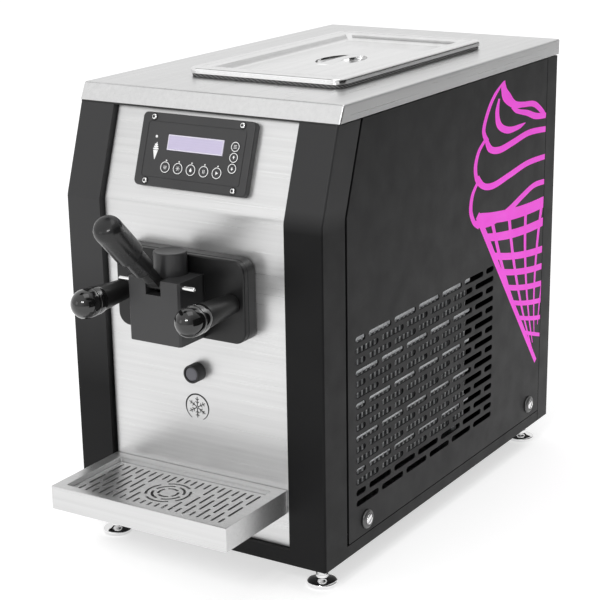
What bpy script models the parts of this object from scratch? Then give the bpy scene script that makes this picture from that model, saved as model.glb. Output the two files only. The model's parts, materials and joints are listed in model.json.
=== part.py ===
"""Countertop soft serve machine, single flavour, gravity fed, air cooled.

Units: the constants are in millimetres and every mesh is scaled to metres.
Machine axes: x to the right, y to the back from the vertical front face of the
front frame, z up from the underside of the body. The empty "machine" carries
everything, so that the world origin is on the table, under the middle of the
machine's outer box.
"""
import math

import bmesh
import bpy
from mathutils import Vector

for old in list(bpy.data.objects):
    bpy.data.objects.remove(old, do_unlink=True)

# ------------------------------------------------------------------ dimensions
BODY_W = 288.0            # outer width of the body
BODY_D = 500.0            # vertical front face to rear face
BODY_TOP = 419.6          # upper edge of the painted panels
KNEE_Z = 334.0            # height at which the front begins to lean back
SLOPE_Z = 421.0           # height at which the setback is measured
SETBACK = 30.0            # setback of the front at SLOPE_Z
SHEET = 1.5               # sheet thickness
POST_W = 40.0             # width of the front posts
FLANGE_D = 40.0           # how far the front frame wraps round the sides
RAIL_H = 15.0             # height of the bottom rail
SILL_H = 12.0             # height of the side sills
PANEL_SET = 6.0           # recess of the stainless front panel
PANEL_HALF = 102.8
FOOT_H = 26.0             # body underside above the table
COVER_OVER = 1.5          # overhang of the stainless top
COVER_Z0, COVER_Z1 = 421.2, 437.5
COVER_T = 1.2
REAR_STRIP = 24.5

LID_X, LID_Y = (-72.0, 102.0), (105.0, 401.0)
PAN_X, PAN_Y, PAN_FLOOR = (-56.5, 86.5), (120.5, 385.5), 345.0

HEAD_X = -3.5             # centre plane of dispensing head, cylinder and beater
AXIS_Z = 257.0            # height of the freezing cylinder's axis
HEAD_HALF_W, HEAD_Z = 72.7, (217.5, 296.5)
HEAD_REAR, HEAD_FRONT = 5.7, -14.0
BLOCK_HALF, BLOCK_FRONT, BLOCK_Z = 29.0, -54.0, (220.0, 280.5)
PLUNGER_Y, PLUNGER_R = -26.0, 15.8
PIVOT_Y, PIVOT_Z = -48.0, 275.5
LEVER_UP = math.radians(44.5)   # rest angle of the lever above horizontal
FINGER_DOWN = math.radians(25.0)
STUD_OFF, STUD_Z = 58.5, 256.0

TRAY_X, TRAY_Y, TRAY_Z = (-103.0, 99.0), (-97.0, 5.7), (50.0, 74.0)

FAN_Y, FAN_Z = 178.0, 136.0
MACHINE_Y = 188.76         # y of the outer box's middle

TILT = math.atan2(SETBACK, SLOPE_Z - KNEE_Z)
PLATE_X, PLATE_S = -3.0, 50.7   # control plate centre: x, and distance up the slope


def front_y(z):
    """y of the front face of the frame at height z."""
    return 0.0 if z <= KNEE_Z else SETBACK * (z - KNEE_Z) / (SLOPE_Z - KNEE_Z)


# ------------------------------------------------------------------ materials
def material(name, colour, rough, metal):
    mat = bpy.data.materials.new(name)
    mat.use_nodes = True
    shader = mat.node_tree.nodes["Principled BSDF"]
    shader.inputs["Base Color"].default_value = (*colour, 1.0)
    shader.inputs["Roughness"].default_value = rough
    shader.inputs["Metallic"].default_value = metal
    mat.diffuse_color = (*colour, 1.0)
    return mat


BLACK_PAINT = material("black_powder_coat", (0.045, 0.045, 0.047), 0.55, 0.0)
BRUSHED = material("brushed_stainless", (0.72, 0.72, 0.71), 0.32, 1.0)
POLISHED = material("polished_stainless", (0.80, 0.80, 0.79), 0.12, 1.0)
GALV = material("galvanised_sheet", (0.55, 0.56, 0.58), 0.45, 1.0)
DARK_PLASTIC = material("dark_grey_plastic", (0.10, 0.10, 0.105), 0.5, 0.0)
BLACK_POM = material("black_acetal", (0.06, 0.06, 0.06), 0.42, 0.0)
GLOSS_BLACK = material("gloss_black_plastic", (0.01, 0.01, 0.01), 0.08, 0.0)
RUBBER = material("black_silicone", (0.02, 0.02, 0.02), 0.7, 0.0)
DISPLAY = material("display_lavender", (0.56, 0.53, 0.66), 0.25, 0.0)
ALU = material("aluminium_fins", (0.66, 0.67, 0.68), 0.4, 1.0)
MOTOR_GREY = material("motor_grey", (0.22, 0.23, 0.25), 0.5, 0.2)
WHITE_PLASTIC = material("white_food_plastic", (0.85, 0.85, 0.82), 0.4, 0.0)


# ------------------------------------------------------------------ mesh tools
def box(x0, x1, y0, y1, z0, z1):
    v = [(x, y, z) for z in (z0, z1) for y in (y0, y1) for x in (x0, x1)]
    f = [(0, 2, 3, 1), (4, 5, 7, 6), (0, 1, 5, 4), (2, 6, 7, 3), (0, 4, 6, 2), (1, 3, 7, 5)]
    return v, f


def at(axis, a, u, w):
    """Point with a along the axis and (u, w) in the plane across it."""
    return {"x": (a, u, w), "y": (u, a, w), "z": (u, w, a)}[axis]


def prism(axis, outline, a0, a1):
    n = len(outline)
    v = [at(axis, a, u, w) for a in (a0, a1) for u, w in outline]
    f = [tuple(range(n)), tuple(range(2 * n - 1, n - 1, -1))]
    f += [(i, (i + 1) % n, n + (i + 1) % n, n + i) for i in range(n)]
    return v, f


def loft(loops):
    """Closed skin through loops with the same number of points, capped at both ends."""
    n = len(loops[0])
    v = [p for loop in loops for p in loop]
    f = [tuple(range(n)), tuple(range(len(v) - 1, len(v) - n - 1, -1))]
    for k in range(len(loops) - 1):
        f += [(k * n + i, k * n + (i + 1) % n, (k + 1) * n + (i + 1) % n, (k + 1) * n + i) for i in range(n)]
    return v, f


def circle(cu, cw, r, n, turn=0.0):
    return [(cu + r * math.cos(turn + 2 * math.pi * i / n), cw + r * math.sin(turn + 2 * math.pi * i / n)) for i in range(n)]


def cylinder(axis, cu, cw, r, a0, a1, n=16):
    return prism(axis, circle(cu, cw, r, n, math.pi / n), a0, a1)


def turned(axis, cu, cw, profile, n=20):
    """Solid of revolution. The profile lists (radius, position along the axis); the ends are capped."""
    return loft([[at(axis, a, u, w) for u, w in circle(cu, cw, max(r, 0.05), n, math.pi / n)] for r, a in profile])


def rounded(x0, x1, y0, y1, r, n=3):
    """Outline of a rectangle with round corners of n steps."""
    if r <= 0:
        return [(x0, y0), (x1, y0), (x1, y1), (x0, y1)]
    out = []
    for cx, cy, a in ((x1 - r, y0 + r, -90), (x1 - r, y1 - r, 0), (x0 + r, y1 - r, 90), (x0 + r, y0 + r, 180)):
        for i in range(n + 1):
            t = math.radians(a + 90.0 * i / n)
            out.append((cx + r * math.cos(t), cy + r * math.sin(t)))
    return out


def rect_loop(xr, yr, r, z, grow=0.0, n=3):
    return [(x, y, z) for x, y in rounded(xr[0] - grow, xr[1] + grow, yr[0] - grow, yr[1] + grow, max(r + grow, 0.6), n)]


def leaning(outline, z0, z1):
    """Extrudes an (x, depth) outline upwards so that depth is measured from the frame's front face."""
    levels = [z0] + ([KNEE_Z] if z0 < KNEE_Z < z1 else []) + [z1]
    return loft([[(x, front_y(z) + d, z) for x, d in outline] for z in levels])


def joined(*shapes):
    v, f = [], []
    for sv, sf in shapes:
        f += [tuple(i + len(v) for i in face) for face in sf]
        v += sv
    return v, f


def mirrored(shape):
    v, f = shape
    return [(-x, y, z) for x, y, z in v], f


# ------------------------------------------------------------------ objects
machine = bpy.data.objects.new("machine", None)
bpy.context.scene.collection.objects.link(machine)
machine.location = (0.0, -MACHINE_Y / 1000.0, FOOT_H / 1000.0)

slope = bpy.data.objects.new("control_slope", None)
bpy.context.scene.collection.objects.link(slope)
slope.parent = machine
_sy, _sz = PLATE_S * math.sin(TILT) + PANEL_SET, KNEE_Z + PLATE_S * math.cos(TILT)
slope.location = (PLATE_X / 1000.0, _sy / 1000.0, _sz / 1000.0)
slope.rotation_euler = (-TILT, 0.0, 0.0)   # its -y axis stands square on the sloped panel


def mesh_object(name, shape, origin, parent):
    v, f = shape
    mesh = bpy.data.meshes.new(name)
    mesh.from_pydata([tuple((Vector(p) - Vector(origin)) * 0.001) for p in v], [], f)
    bm = bmesh.new()
    bm.from_mesh(mesh)
    bmesh.ops.recalc_face_normals(bm, faces=bm.faces)
    bm.to_mesh(mesh)
    bm.free()
    obj = bpy.data.objects.new(name, mesh)
    bpy.context.scene.collection.objects.link(obj)
    obj.parent = parent
    obj.location = Vector(origin) * 0.001
    return obj


def part(name, shape, mat, add=(), cut=(), then_add=(), origin=(0.0, 0.0, 0.0), parent=machine):
    """One named piece: a solid, with solids joined to it, then solids cut from it."""
    obj = mesh_object(name, shape, origin, parent)
    for operation, shapes in (("UNION", add), ("DIFFERENCE", cut), ("UNION", then_add)):
        for other in shapes:
            tool = mesh_object(name + "_tool", other, origin, parent)
            step = obj.modifiers.new(operation.lower(), "BOOLEAN")
            step.operation = operation
            step.solver = "EXACT"
            step.object = tool
            bpy.context.view_layer.update()
            done = bpy.data.meshes.new_from_object(obj.evaluated_get(bpy.context.evaluated_depsgraph_get()))
            obj.modifiers.clear()
            obj.data = done
            bpy.data.objects.remove(tool, do_unlink=True)
    obj.data.name = name
    obj.data.materials.clear()
    obj.data.materials.append(mat)
    obj.data.shade_smooth()
    obj.data.set_sharp_from_angle(angle=math.radians(32))
    return obj


HALF = BODY_W / 2
GAP = 0.3

# ------------------------------------------------------------------ base and frame
feet_xy = {"fl": (-124.0, 26.0), "fr": (124.0, 26.0), "rl": (-124.0, 474.0), "rr": (124.0, 474.0)}

part("base_pan",
     box(-HALF + SHEET + GAP, HALF - SHEET - GAP, 14.0, 497.8, 1.8, 3.3), BLACK_PAINT,
     add=[box(s * (HALF - SHEET - GAP) - (SHEET if s > 0 else 0), s * (HALF - SHEET - GAP) + (0 if s > 0 else SHEET), 46.0, 470.0, 2.0, 22.0)
          for s in (-1, 1)],
     cut=[cylinder("z", x, y, 6.4, -2.0, 8.0, 12) for x, y in feet_xy.values()]
     + [box(min(s * 135.6, s * 150.0), max(s * 135.6, s * 150.0), 0.0, FLANGE_D + 0.4, 0.0, 8.0) for s in (-1, 1)])

post = [(HALF - POST_W, 0.0), (HALF - 1.2, 0.0), (HALF, 1.2), (HALF, FLANGE_D), (HALF - 8.0, FLANGE_D), (HALF - 8.0, FLANGE_D - SHEET),
        (HALF - SHEET, FLANGE_D - SHEET), (HALF - SHEET, SHEET), (HALF - POST_W + SHEET, SHEET), (HALF - POST_W + SHEET, 10.0), (HALF - POST_W, 10.0)]
post_right = leaning(post, 0.0, BODY_TOP)
sill = box(HALF - SHEET, HALF, FLANGE_D - 2.0, BODY_D - REAR_STRIP - 0.9, 0.0, SILL_H)
sill_foot = box(HALF - 12.0, HALF - 0.2, FLANGE_D - 2.0, BODY_D - REAR_STRIP - 0.9, 0.0, SHEET)
top_tab = box(HALF - 9.0, HALF - 1.8, front_y(BODY_TOP) + FLANGE_D - 2.6, front_y(BODY_TOP) + FLANGE_D - 1.1, BODY_TOP - 9.5, COVER_Z1 - COVER_T - GAP)
rail = prism("x", [(0.0, 0.0), (12.0, 0.0), (12.0, SHEET), (SHEET, SHEET), (SHEET, RAIL_H - SHEET), (10.0, RAIL_H - SHEET), (10.0, RAIL_H), (0.0, RAIL_H)],
             -(HALF - POST_W + 0.7), HALF - POST_W + 0.7)
part("front_frame", post_right, BLACK_PAINT,
     add=[rail, mirrored(post_right), sill, mirrored(sill), sill_foot, mirrored(sill_foot), top_tab, mirrored(top_tab)])

# Stainless front panel: upright below, leaning above, with returned edges.
panel = [(-PANEL_HALF, PANEL_SET), (PANEL_HALF, PANEL_SET), (PANEL_HALF, PANEL_SET + 9.0), (PANEL_HALF - SHEET, PANEL_SET + 9.0),
         (PANEL_HALF - SHEET, PANEL_SET + SHEET), (-PANEL_HALF + SHEET, PANEL_SET + SHEET), (-PANEL_HALF + SHEET, PANEL_SET + 9.0), (-PANEL_HALF, PANEL_SET + 9.0)]
hook_x = (-58.0, 54.0)
part("front_panel", leaning(panel, RAIL_H + 0.6, BODY_TOP + 0.6), BRUSHED,
     cut=[cylinder("y", HEAD_X, AXIS_Z, 38.0, 0.0, 20.0, 28)]
     + [cylinder("y", HEAD_X + s * STUD_OFF, STUD_Z, 4.6, 0.0, 20.0, 12) for s in (-1, 1)]
     + [cylinder("y", 0.5, 176.0, 6.6, 0.0, 20.0, 12)]
     + [box(x - 4.6, x + 4.6, 0.0, 12.0, TRAY_Z[0] + 9.7, TRAY_Z[0] + 23.0) for x in hook_x])


# ------------------------------------------------------------------ side panels
def vent_slots(x0, x1, rows):
    """Staggered rows: six long slots, then a half, five long and a half."""
    y0, y1, z0, pitch, high, web = 58.0, 350.0, 46.0, 11.0, 6.0, 6.6
    step = (y1 - y0 + web) / 6.0
    slots = []
    for row in range(rows):
        z = z0 + row * pitch
        if row % 2 == 0:
            spans = [(y0 + k * step, y0 + (k + 1) * step - web) for k in range(6)]
        else:
            spans = [(y0, y0 + step / 2 - web)] + [(y0 + (k + 0.5) * step, y0 + (k + 1.5) * step - web) for k in range(5)] + [(y0 + 5.5 * step, y1)]
        slots += [box(x0, x1, a, b, z, z + high) for a, b in spans]
    return joined(*slots)


seam = 3.6
side_outline = [(FLANGE_D + seam, SILL_H + 0.9), (FLANGE_D + seam, KNEE_Z), (front_y(BODY_TOP) + FLANGE_D + seam, BODY_TOP),
                (BODY_D - REAR_STRIP - 0.9, BODY_TOP), (BODY_D - REAR_STRIP - 0.9, SILL_H + 0.9)]
screw_yz = ((78.0, 27.0), (448.0, 28.5))


def side_panel(name, s, rows):
    flip = (lambda shape: shape) if s > 0 else mirrored
    skin = prism("x", side_outline, HALF - SHEET, HALF)
    hem = box(HALF - 9.0, HALF - 0.2, FLANGE_D + seam + 3.0, BODY_D - REAR_STRIP - 4.0, BODY_TOP - SHEET, BODY_TOP - 0.01)
    front_hem = loft([[(x, front_y(z) + FLANGE_D + seam + d, z) for x, d in ((HALF - 8.0, 0.0), (HALF - 0.2, 0.0), (HALF - 0.2, SHEET), (HALF - 8.0, SHEET))]
                      for z in (24.0, KNEE_Z, BODY_TOP - 8.0)])
    part(name, flip(skin), BLACK_PAINT, add=[flip(front_hem), flip(box(HALF - 9.0, HALF - 0.2, 90.0, 460.0, BODY_TOP - SHEET - 2.0, BODY_TOP - 2.0))],
         cut=[flip(vent_slots(HALF - 6.0, HALF + 4.0, rows))] + [flip(cylinder("x", y, z, 3.0, HALF - 5.0, HALF + 5.0, 10)) for y, z in screw_yz])
    side = "right" if s > 0 else "left"
    for tag, (y, z) in zip(("front", "rear"), screw_yz):
        washer = turned("x", y, z, [(9.0, HALF + GAP), (9.0, HALF + 1.2), (7.6, HALF + 2.2), (5.6, HALF + 2.2)], 12)
        part(f"cup_washer_{side}_{tag}", flip(washer), BLACK_PAINT, cut=[flip(cylinder("x", y, z, 3.1, HALF - 2.0, HALF + 6.0, 10)),
             flip(turned("x", y, z, [(3.0, HALF + 0.9), (5.0, HALF + 3.0)], 10))])
        screw = turned("x", y, z, [(2.6, HALF - 10.0), (2.6, HALF + 0.9), (2.8, HALF + 1.2), (4.1, HALF + 2.6), (4.1, HALF + 3.4), (3.2, HALF + 4.0)], 10)
        a = math.radians(35)
        slot = [(y + u * math.cos(a) - w * math.sin(a), z + u * math.sin(a) + w * math.cos(a)) for u, w in ((-5, -0.6), (5, -0.6), (5, 0.6), (-5, 0.6))]
        part(f"panel_screw_{side}_{tag}", flip(screw), POLISHED, cut=[flip(prism("x", slot, HALF + 2.9, HALF + 5.0))])


side_panel("side_panel_right", 1, 16)   # beside the condenser
side_panel("side_panel_left", -1, 8)

# ------------------------------------------------------------------ rear panel with inlet and switch
y_back = BODY_D
rear = [(-HALF, y_back - REAR_STRIP), (-HALF + SHEET, y_back - REAR_STRIP), (-HALF + SHEET, y_back - SHEET), (HALF - SHEET, y_back - SHEET),
        (HALF - SHEET, y_back - REAR_STRIP), (HALF, y_back - REAR_STRIP), (HALF, y_back), (-HALF, y_back)]
back_slots = joined(*[box(x0, x0 + 46.0, y_back - 6.0, y_back + 4.0, z, z + 6.0)
                      for z in (150.0, 168.0, 186.0, 204.0, 222.0, 240.0) for x0 in (-106.0, -50.0, 6.0, 62.0)])
rear_tab = box(HALF - 9.0, HALF - 1.2, y_back - REAR_STRIP, y_back - REAR_STRIP + SHEET, BODY_TOP - 14.0, COVER_Z1 - COVER_T - GAP)
part("rear_panel", prism("z", rear, 0.0, BODY_TOP), BLACK_PAINT,
     add=[rear_tab, mirrored(rear_tab)],
     cut=[back_slots, box(-104.0, -44.0, y_back - 8.0, y_back + 4.0, 44.0, 74.0)])
part("power_inlet", box(-110.0, -38.0, y_back + GAP, y_back + 2.8, 38.0, 80.0), GLOSS_BLACK,
     add=[box(-103.5, -44.5, y_back - 30.0, y_back + 1.0, 44.5, 73.5)],
     cut=[box(-98.0, -74.0, y_back - 15.0, y_back + 6.0, 50.0, 68.0), box(-65.0, -49.0, y_back - 14.0, y_back + 6.0, 48.0, 70.0)])
SWITCH = (-57.0, y_back - 6.0, 59.0)
rocker = [(SWITCH[1] + 4.6 + dy, SWITCH[2] + dz) for dy, dz in ((-5.6, -9.0), (5.4, -9.4), (3.9, -4.5), (3.4, 0.0), (3.9, 4.5), (4.0, 9.4), (-5.6, 9.0))]
part("switch_rocker", prism("x", rocker, SWITCH[0] - 7.4, SWITCH[0] + 7.4), GLOSS_BLACK, origin=SWITCH)

# ------------------------------------------------------------------ top cover
cx = HALF + COVER_OVER
cover = loft([[(-cx, 30.5, COVER_Z0), (cx, 30.5, COVER_Z0), (cx, BODY_D + 1.8, COVER_Z0), (-cx, BODY_D + 1.8, COVER_Z0)],
              [(-cx, 38.5, COVER_Z1), (cx, 38.5, COVER_Z1), (cx, BODY_D + 1.8, COVER_Z1), (-cx, BODY_D + 1.8, COVER_Z1)]])
ci = cx - COVER_T
inside = loft([[(-ci, 31.2, COVER_Z0 - 2.0), (ci, 31.2, COVER_Z0 - 2.0), (ci, BODY_D + 0.6, COVER_Z0 - 2.0), (-ci, BODY_D + 0.6, COVER_Z0 - 2.0)],
               [(-ci, 39.6, COVER_Z1 - COVER_T), (ci, 39.6, COVER_Z1 - COVER_T), (ci, BODY_D + 0.6, COVER_Z1 - COVER_T), (-ci, BODY_D + 0.6, COVER_Z1 - COVER_T)]])
part("top_cover", cover, BRUSHED, cut=[inside, prism("z", rounded(PAN_X[0] - 0.5, PAN_X[1] + 0.5, PAN_Y[0] - 0.5, PAN_Y[1] + 0.5, 12.5), COVER_Z1 - 8.0, COVER_Z1 + 4.0)])

# ------------------------------------------------------------------ hopper, lid, feed tube
FEED = (HEAD_X, 212.0)
rim_z = COVER_Z1 + GAP
pan = loft([rect_loop(PAN_X, PAN_Y, 12, PAN_FLOOR + 1.2, -8.0), rect_loop(PAN_X, PAN_Y, 12, rim_z + 0.2, -1.1),
            rect_loop(PAN_X, PAN_Y, 12, rim_z + 1.0, 0.4), rect_loop((-70.0, 100.0), (107.0, 399.0), 15, rim_z + 1.0), rect_loop((-70.0, 100.0), (107.0, 399.0), 15, rim_z),
            rect_loop(PAN_X, PAN_Y, 12, rim_z), rect_loop(PAN_X, PAN_Y, 12, PAN_FLOOR, -7.0)])
part("hopper", pan, POLISHED,
     add=[cylinder("z", FEED[0], FEED[1], 12.0, 302.5, PAN_FLOOR + 0.6, 16)],
     cut=[cylinder("z", FEED[0], FEED[1], 9.2, 295.0, PAN_FLOOR + 8.0, 16)])
part("feed_tube", turned("z", FEED[0], FEED[1], [(8.8, 308.0), (8.8, 346.6), (13.0, 347.6), (13.0, 350.6), (8.8, 351.6), (8.8, 428.0)], 16), WHITE_PLASTIC,
     cut=[cylinder("z", FEED[0], FEED[1], 6.4, 300.0, 440.0, 12)], origin=(FEED[0], FEED[1], 308.0))

lid_z0, lid_z1 = 441.1, 446.6
dish_c = (15.0, 253.0)
lid_loops = [rect_loop(LID_X, LID_Y, 16, lid_z1 - 7.0, -23.0), rect_loop(LID_X, LID_Y, 16, lid_z1 - 0.8, -17.0, 3), rect_loop(LID_X, LID_Y, 16, lid_z1, -15.5),
             rect_loop(LID_X, LID_Y, 16, lid_z1, -1.6, 3), rect_loop(LID_X, LID_Y, 16, lid_z1 - 1.6, 0.0, 3), rect_loop(LID_X, LID_Y, 16, lid_z0, 0.0),
             rect_loop(LID_X, LID_Y, 16, lid_z0, -1.0, 3), rect_loop(LID_X, LID_Y, 16, lid_z1 - 1.1, -2.6, 3), rect_loop(LID_X, LID_Y, 16, lid_z1 - 1.1, -16.3),
             rect_loop(LID_X, LID_Y, 16, lid_z1 - 8.0, -23.4)]


def bowl(rx, ry, top, depth, n=20, rows=3):
    """Half an ellipsoid hanging down from a short straight collar."""
    loops = [[(dish_c[0] + rx * math.cos(2 * math.pi * i / n), dish_c[1] + ry * math.sin(2 * math.pi * i / n), top + 2.5) for i in range(n)]]
    for k in range(rows + 1):
        a = math.pi / 2 * k / rows * 0.93
        loops.append([(dish_c[0] + rx * math.cos(a) * math.cos(2 * math.pi * i / n), dish_c[1] + ry * math.cos(a) * math.sin(2 * math.pi * i / n), top - depth * math.sin(a)) for i in range(n)])
    return loft(loops)


floor_z = lid_z1 - 7.0
part("hopper_lid", loft(lid_loops), POLISHED,
     add=[loft([[(x, y, min(z, floor_z - 0.3)) for x, y, z in loop] for loop in [bowl(24.0, 36.0, floor_z - 0.5, 13.0)[0][i * 20:(i + 1) * 20] for i in range(1, 5)]])],
     cut=[bowl(22.8, 34.8, floor_z, 12.0)],
     then_add=[box(dish_c[0] - 7.0, dish_c[0] + 7.0, dish_c[1] - 36.0, dish_c[1] + 36.0, floor_z - 0.9, floor_z - 0.1)], origin=(15.0, 253.0, lid_z0))
part("lid_gasket", loft([rect_loop((-70.0, 100.0), (107.0, 399.0), 15, rim_z, 1.8), rect_loop((-70.0, 100.0), (107.0, 399.0), 15, lid_z0 - 0.3, 1.8)]), RUBBER,
     cut=[prism("z", [(x, y) for x, y, _ in rect_loop((-70.0, 100.0), (107.0, 399.0), 15, 0.0, 0.5)], rim_z - 3.0, lid_z0 + 3.0)], origin=(15.0, 253.0, lid_z0))

# ------------------------------------------------------------------ control plate (drawn in the frame of the slope)
PL_W, PL_H, PL_T = 126.0, 69.0, 7.0
row_keys = [(-29.1 + 14.55 * k, -15.7, 5.4) for k in range(5)]
side_keys = [(45.0, z, 4.7) for z in (10.1, 0.1, -9.9)]
plate_screws = [(sx * 49.6, sz * 30.0) for sx in (-1, 1) for sz in (-1, 1)]
face = -(GAP + PL_T)
part("control_plate", prism("y", rounded(-PL_W / 2, PL_W / 2, -PL_H / 2, PL_H / 2, 5.0), face, -GAP), DARK_PLASTIC,
     cut=[cylinder("y", x, z, r + 0.35, face - 2.0, 3.0, 12) for x, z, r in row_keys + side_keys]
     + [cylinder("y", x, z, 1.8, face - 2.0, 3.0, 8) for x, z in plate_screws]
     + [box(-31.1, 32.3, face - 2.0, face + 2.4, 0.0, 15.5)], parent=slope)
part("display_window", box(-30.8, 32.0, face + 0.1, face + 2.1, 0.3, 15.2), DISPLAY, parent=slope)
for k, (x, z, r) in enumerate(row_keys + side_keys):
    name = f"key_row_{k + 1}" if k < 5 else f"key_side_{k - 4}"
    part(name, turned("y", x, z, [(r - 0.5, face - 0.5), (r, face - 0.2), (r, face + 4.4)], 12), DARK_PLASTIC, origin=(x, face, z), parent=slope)
for k, (x, z) in enumerate(plate_screws):
    part(f"plate_screw_{k + 1}", turned("y", x, z, [(1.3, face - 1.9), (2.6, face - 1.4), (2.7, face - GAP), (1.5, face - GAP + 0.02), (1.5, -GAP - 0.5)], 12), POLISHED, parent=slope)

# ------------------------------------------------------------------ dispensing head
head_shape = prism("y", rounded(HEAD_X - HEAD_HALF_W, HEAD_X + HEAD_HALF_W, HEAD_Z[0], HEAD_Z[1], 12.0, 4), HEAD_FRONT, HEAD_REAR)
block = prism("z", [(HEAD_X - BLOCK_HALF, HEAD_FRONT + 3.0), (HEAD_X - BLOCK_HALF, BLOCK_FRONT + 2.0), (HEAD_X - BLOCK_HALF + 2.0, BLOCK_FRONT),
                    (HEAD_X + BLOCK_HALF - 2.0, BLOCK_FRONT), (HEAD_X + BLOCK_HALF, BLOCK_FRONT + 2.0), (HEAD_X + BLOCK_HALF, HEAD_FRONT + 3.0)], BLOCK_Z[0], BLOCK_Z[1])
part("dispensing_head", head_shape, BLACK_POM, add=[block],
     cut=[cylinder("z", HEAD_X, PLUNGER_Y, PLUNGER_R + 0.5, 228.6, 300.0, 20),
          cylinder("z", HEAD_X, PLUNGER_Y, 7.0, 210.0, 232.0, 12),
          cylinder("y", HEAD_X, 236.0, 5.0, PLUNGER_Y, 12.0, 12),
          box(HEAD_X - 8.4, HEAD_X + 8.4, BLOCK_FRONT - 4.0, PLUNGER_Y - 11.0, 266.0, 290.0),
          cylinder("x", PIVOT_Y, PIVOT_Z, 2.3, HEAD_X - 40.0, HEAD_X + 40.0, 12)]
     + [cylinder("y", HEAD_X + s * STUD_OFF, STUD_Z, 4.5, -30.0, 12.0, 12) for s in (-1, 1)])
part("head_seal", turned("y", HEAD_X, AXIS_Z, [(37.5, HEAD_REAR + GAP), (37.5, 8.3)], 24), RUBBER,
     cut=[cylinder("y", HEAD_X, AXIS_Z, 33.5, 0.0, 14.0, 24)])
part("draw_plunger", turned("z", HEAD_X, PLUNGER_Y, [(PLUNGER_R - 1.5, 229.0), (PLUNGER_R, 231.0), (PLUNGER_R, 300.4), (PLUNGER_R - 1.2, 301.6)], 20), BLACK_POM,
     cut=[box(HEAD_X - 6.5, HEAD_X + 6.5, PLUNGER_Y - 20.0, PLUNGER_Y - 1.0, 262.6, 277.4)], origin=(HEAD_X, PLUNGER_Y, 229.0))
part("pivot_pin", cylinder("x", PIVOT_Y, PIVOT_Z, 2.0, HEAD_X - 42.5, HEAD_X + 42.5, 12), POLISHED)
for s, side in ((-1, "left"), (1, "right")):
    x = HEAD_X + s * STUD_OFF
    part(f"head_stud_{side}", turned("y", x, STUD_Z, [(4.0, -62.0), (4.0, PANEL_SET + SHEET + GAP), (8.0, PANEL_SET + SHEET + GAP + 0.02), (8.0, 12.5)], 12), POLISHED)
    dome = [(14.0 * math.cos(math.radians(a)), -80.0 - 14.0 * math.sin(math.radians(a))) for a in (84, 66, 45, 22, 0)]
    part(f"head_nut_{side}", turned("y", x, STUD_Z, dome + [(14.0, -67.0), (12.6, -61.5), (11.6, -50.0), (9.0, HEAD_FRONT - GAP)], 16), GLOSS_BLACK,
         cut=[cylinder("y", x, STUD_Z, 4.3, -65.0, 0.0, 12)], origin=(x, HEAD_FRONT - GAP, STUD_Z))


# ------------------------------------------------------------------ lever, drawn along its own axis and set at its rest angle
def in_lever(shape, angle=LEVER_UP):
    """Turns a shape drawn along +u (towards the grip) with w across it into the machine's axes."""
    ca, sa = math.cos(angle), math.sin(angle)
    v, f = shape
    return [(HEAD_X + x, PIVOT_Y - u * ca + w * sa, PIVOT_Z + u * sa + w * ca) for x, u, w in v], f


fd = math.pi + LEVER_UP + FINGER_DOWN
finger = [(HEAD_X + x, PIVOT_Y + u * math.cos(FINGER_DOWN) + w * math.sin(FINGER_DOWN), PIVOT_Z - u * math.sin(FINGER_DOWN) + w * math.cos(FINGER_DOWN))
          for x, u, w in box(-4.5, 4.5, 0.0, 16.0, -2.4, 2.4)[0]]
part("lever_arm", cylinder("x", PIVOT_Y, PIVOT_Z, 5.0, HEAD_X - 7.9, HEAD_X + 7.9, 16), BLACK_POM,
     add=[in_lever(box(-6.3, 6.3, 1.0, 20.0, -4.6, 4.6)),
          in_lever(loft([[(x, u, w) for x, w in circle(0, 0, r, 16)] for r, u in ((7.4, 12.6), (7.6, 33.7))])),
          in_lever(loft([[(x, u, w) for x, w in circle(0, 0, 4.0, 12)] for u in (30.0, 88.0)])),
          (finger, box(0, 1, 0, 1, 0, 1)[1])],
     cut=[cylinder("x", PIVOT_Y, PIVOT_Z, 2.3, HEAD_X - 20.0, HEAD_X + 20.0, 12)], origin=(HEAD_X, PIVOT_Y, PIVOT_Z))
grip_profile = [(9.8, 34.0), (10.8, 35.2), (10.9, 51.6), (13.3, 52.6), (13.6, 70.0), (13.6, 90.0), (12.6, 97.0), (9.6, 100.6), (4.5, 102.0)]
part("lever_grip", in_lever(loft([[(x, u, w) for x, w in circle(0, 0, r, 16)] for r, u in grip_profile])), BLACK_POM,
     cut=[in_lever(loft([[(x, u, w) for x, w in circle(0, 0, 4.3, 12)] for u in (30.0, 90.0)]))], origin=(HEAD_X, PIVOT_Y, PIVOT_Z))

# ------------------------------------------------------------------ drain tube
part("drain_tube", turned("y", 0.5, 176.0, [(8.2, -6.3), (9.0, -5.6), (9.0, PANEL_SET - GAP), (6.2, PANEL_SET - GAP + 0.02), (6.2, 70.0)], 20), RUBBER,
     cut=[cylinder("y", 0.5, 176.0, 7.0, -10.0, -4.9, 16), cylinder("y", 0.5, 176.0, 4.6, 0.0, 80.0, 12)], origin=(0.5, PANEL_SET, 176.0))

# ------------------------------------------------------------------ drip tray and grid
tx, ty, (tz0, tz1) = TRAY_X, TRAY_Y, TRAY_Z
in_x, in_y = (tx[0] + 12.0, tx[1] - 12.0), (ty[0] + 9.0, ty[1] - 10.0)


def frame_loop(xr, yr, z):
    return [(xr[0], yr[0], z), (xr[1], yr[0], z), (xr[1], yr[1], z), (xr[0], yr[1], z)]


def grown(pair, g):
    return (pair[0] - g, pair[1] + g)


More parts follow.
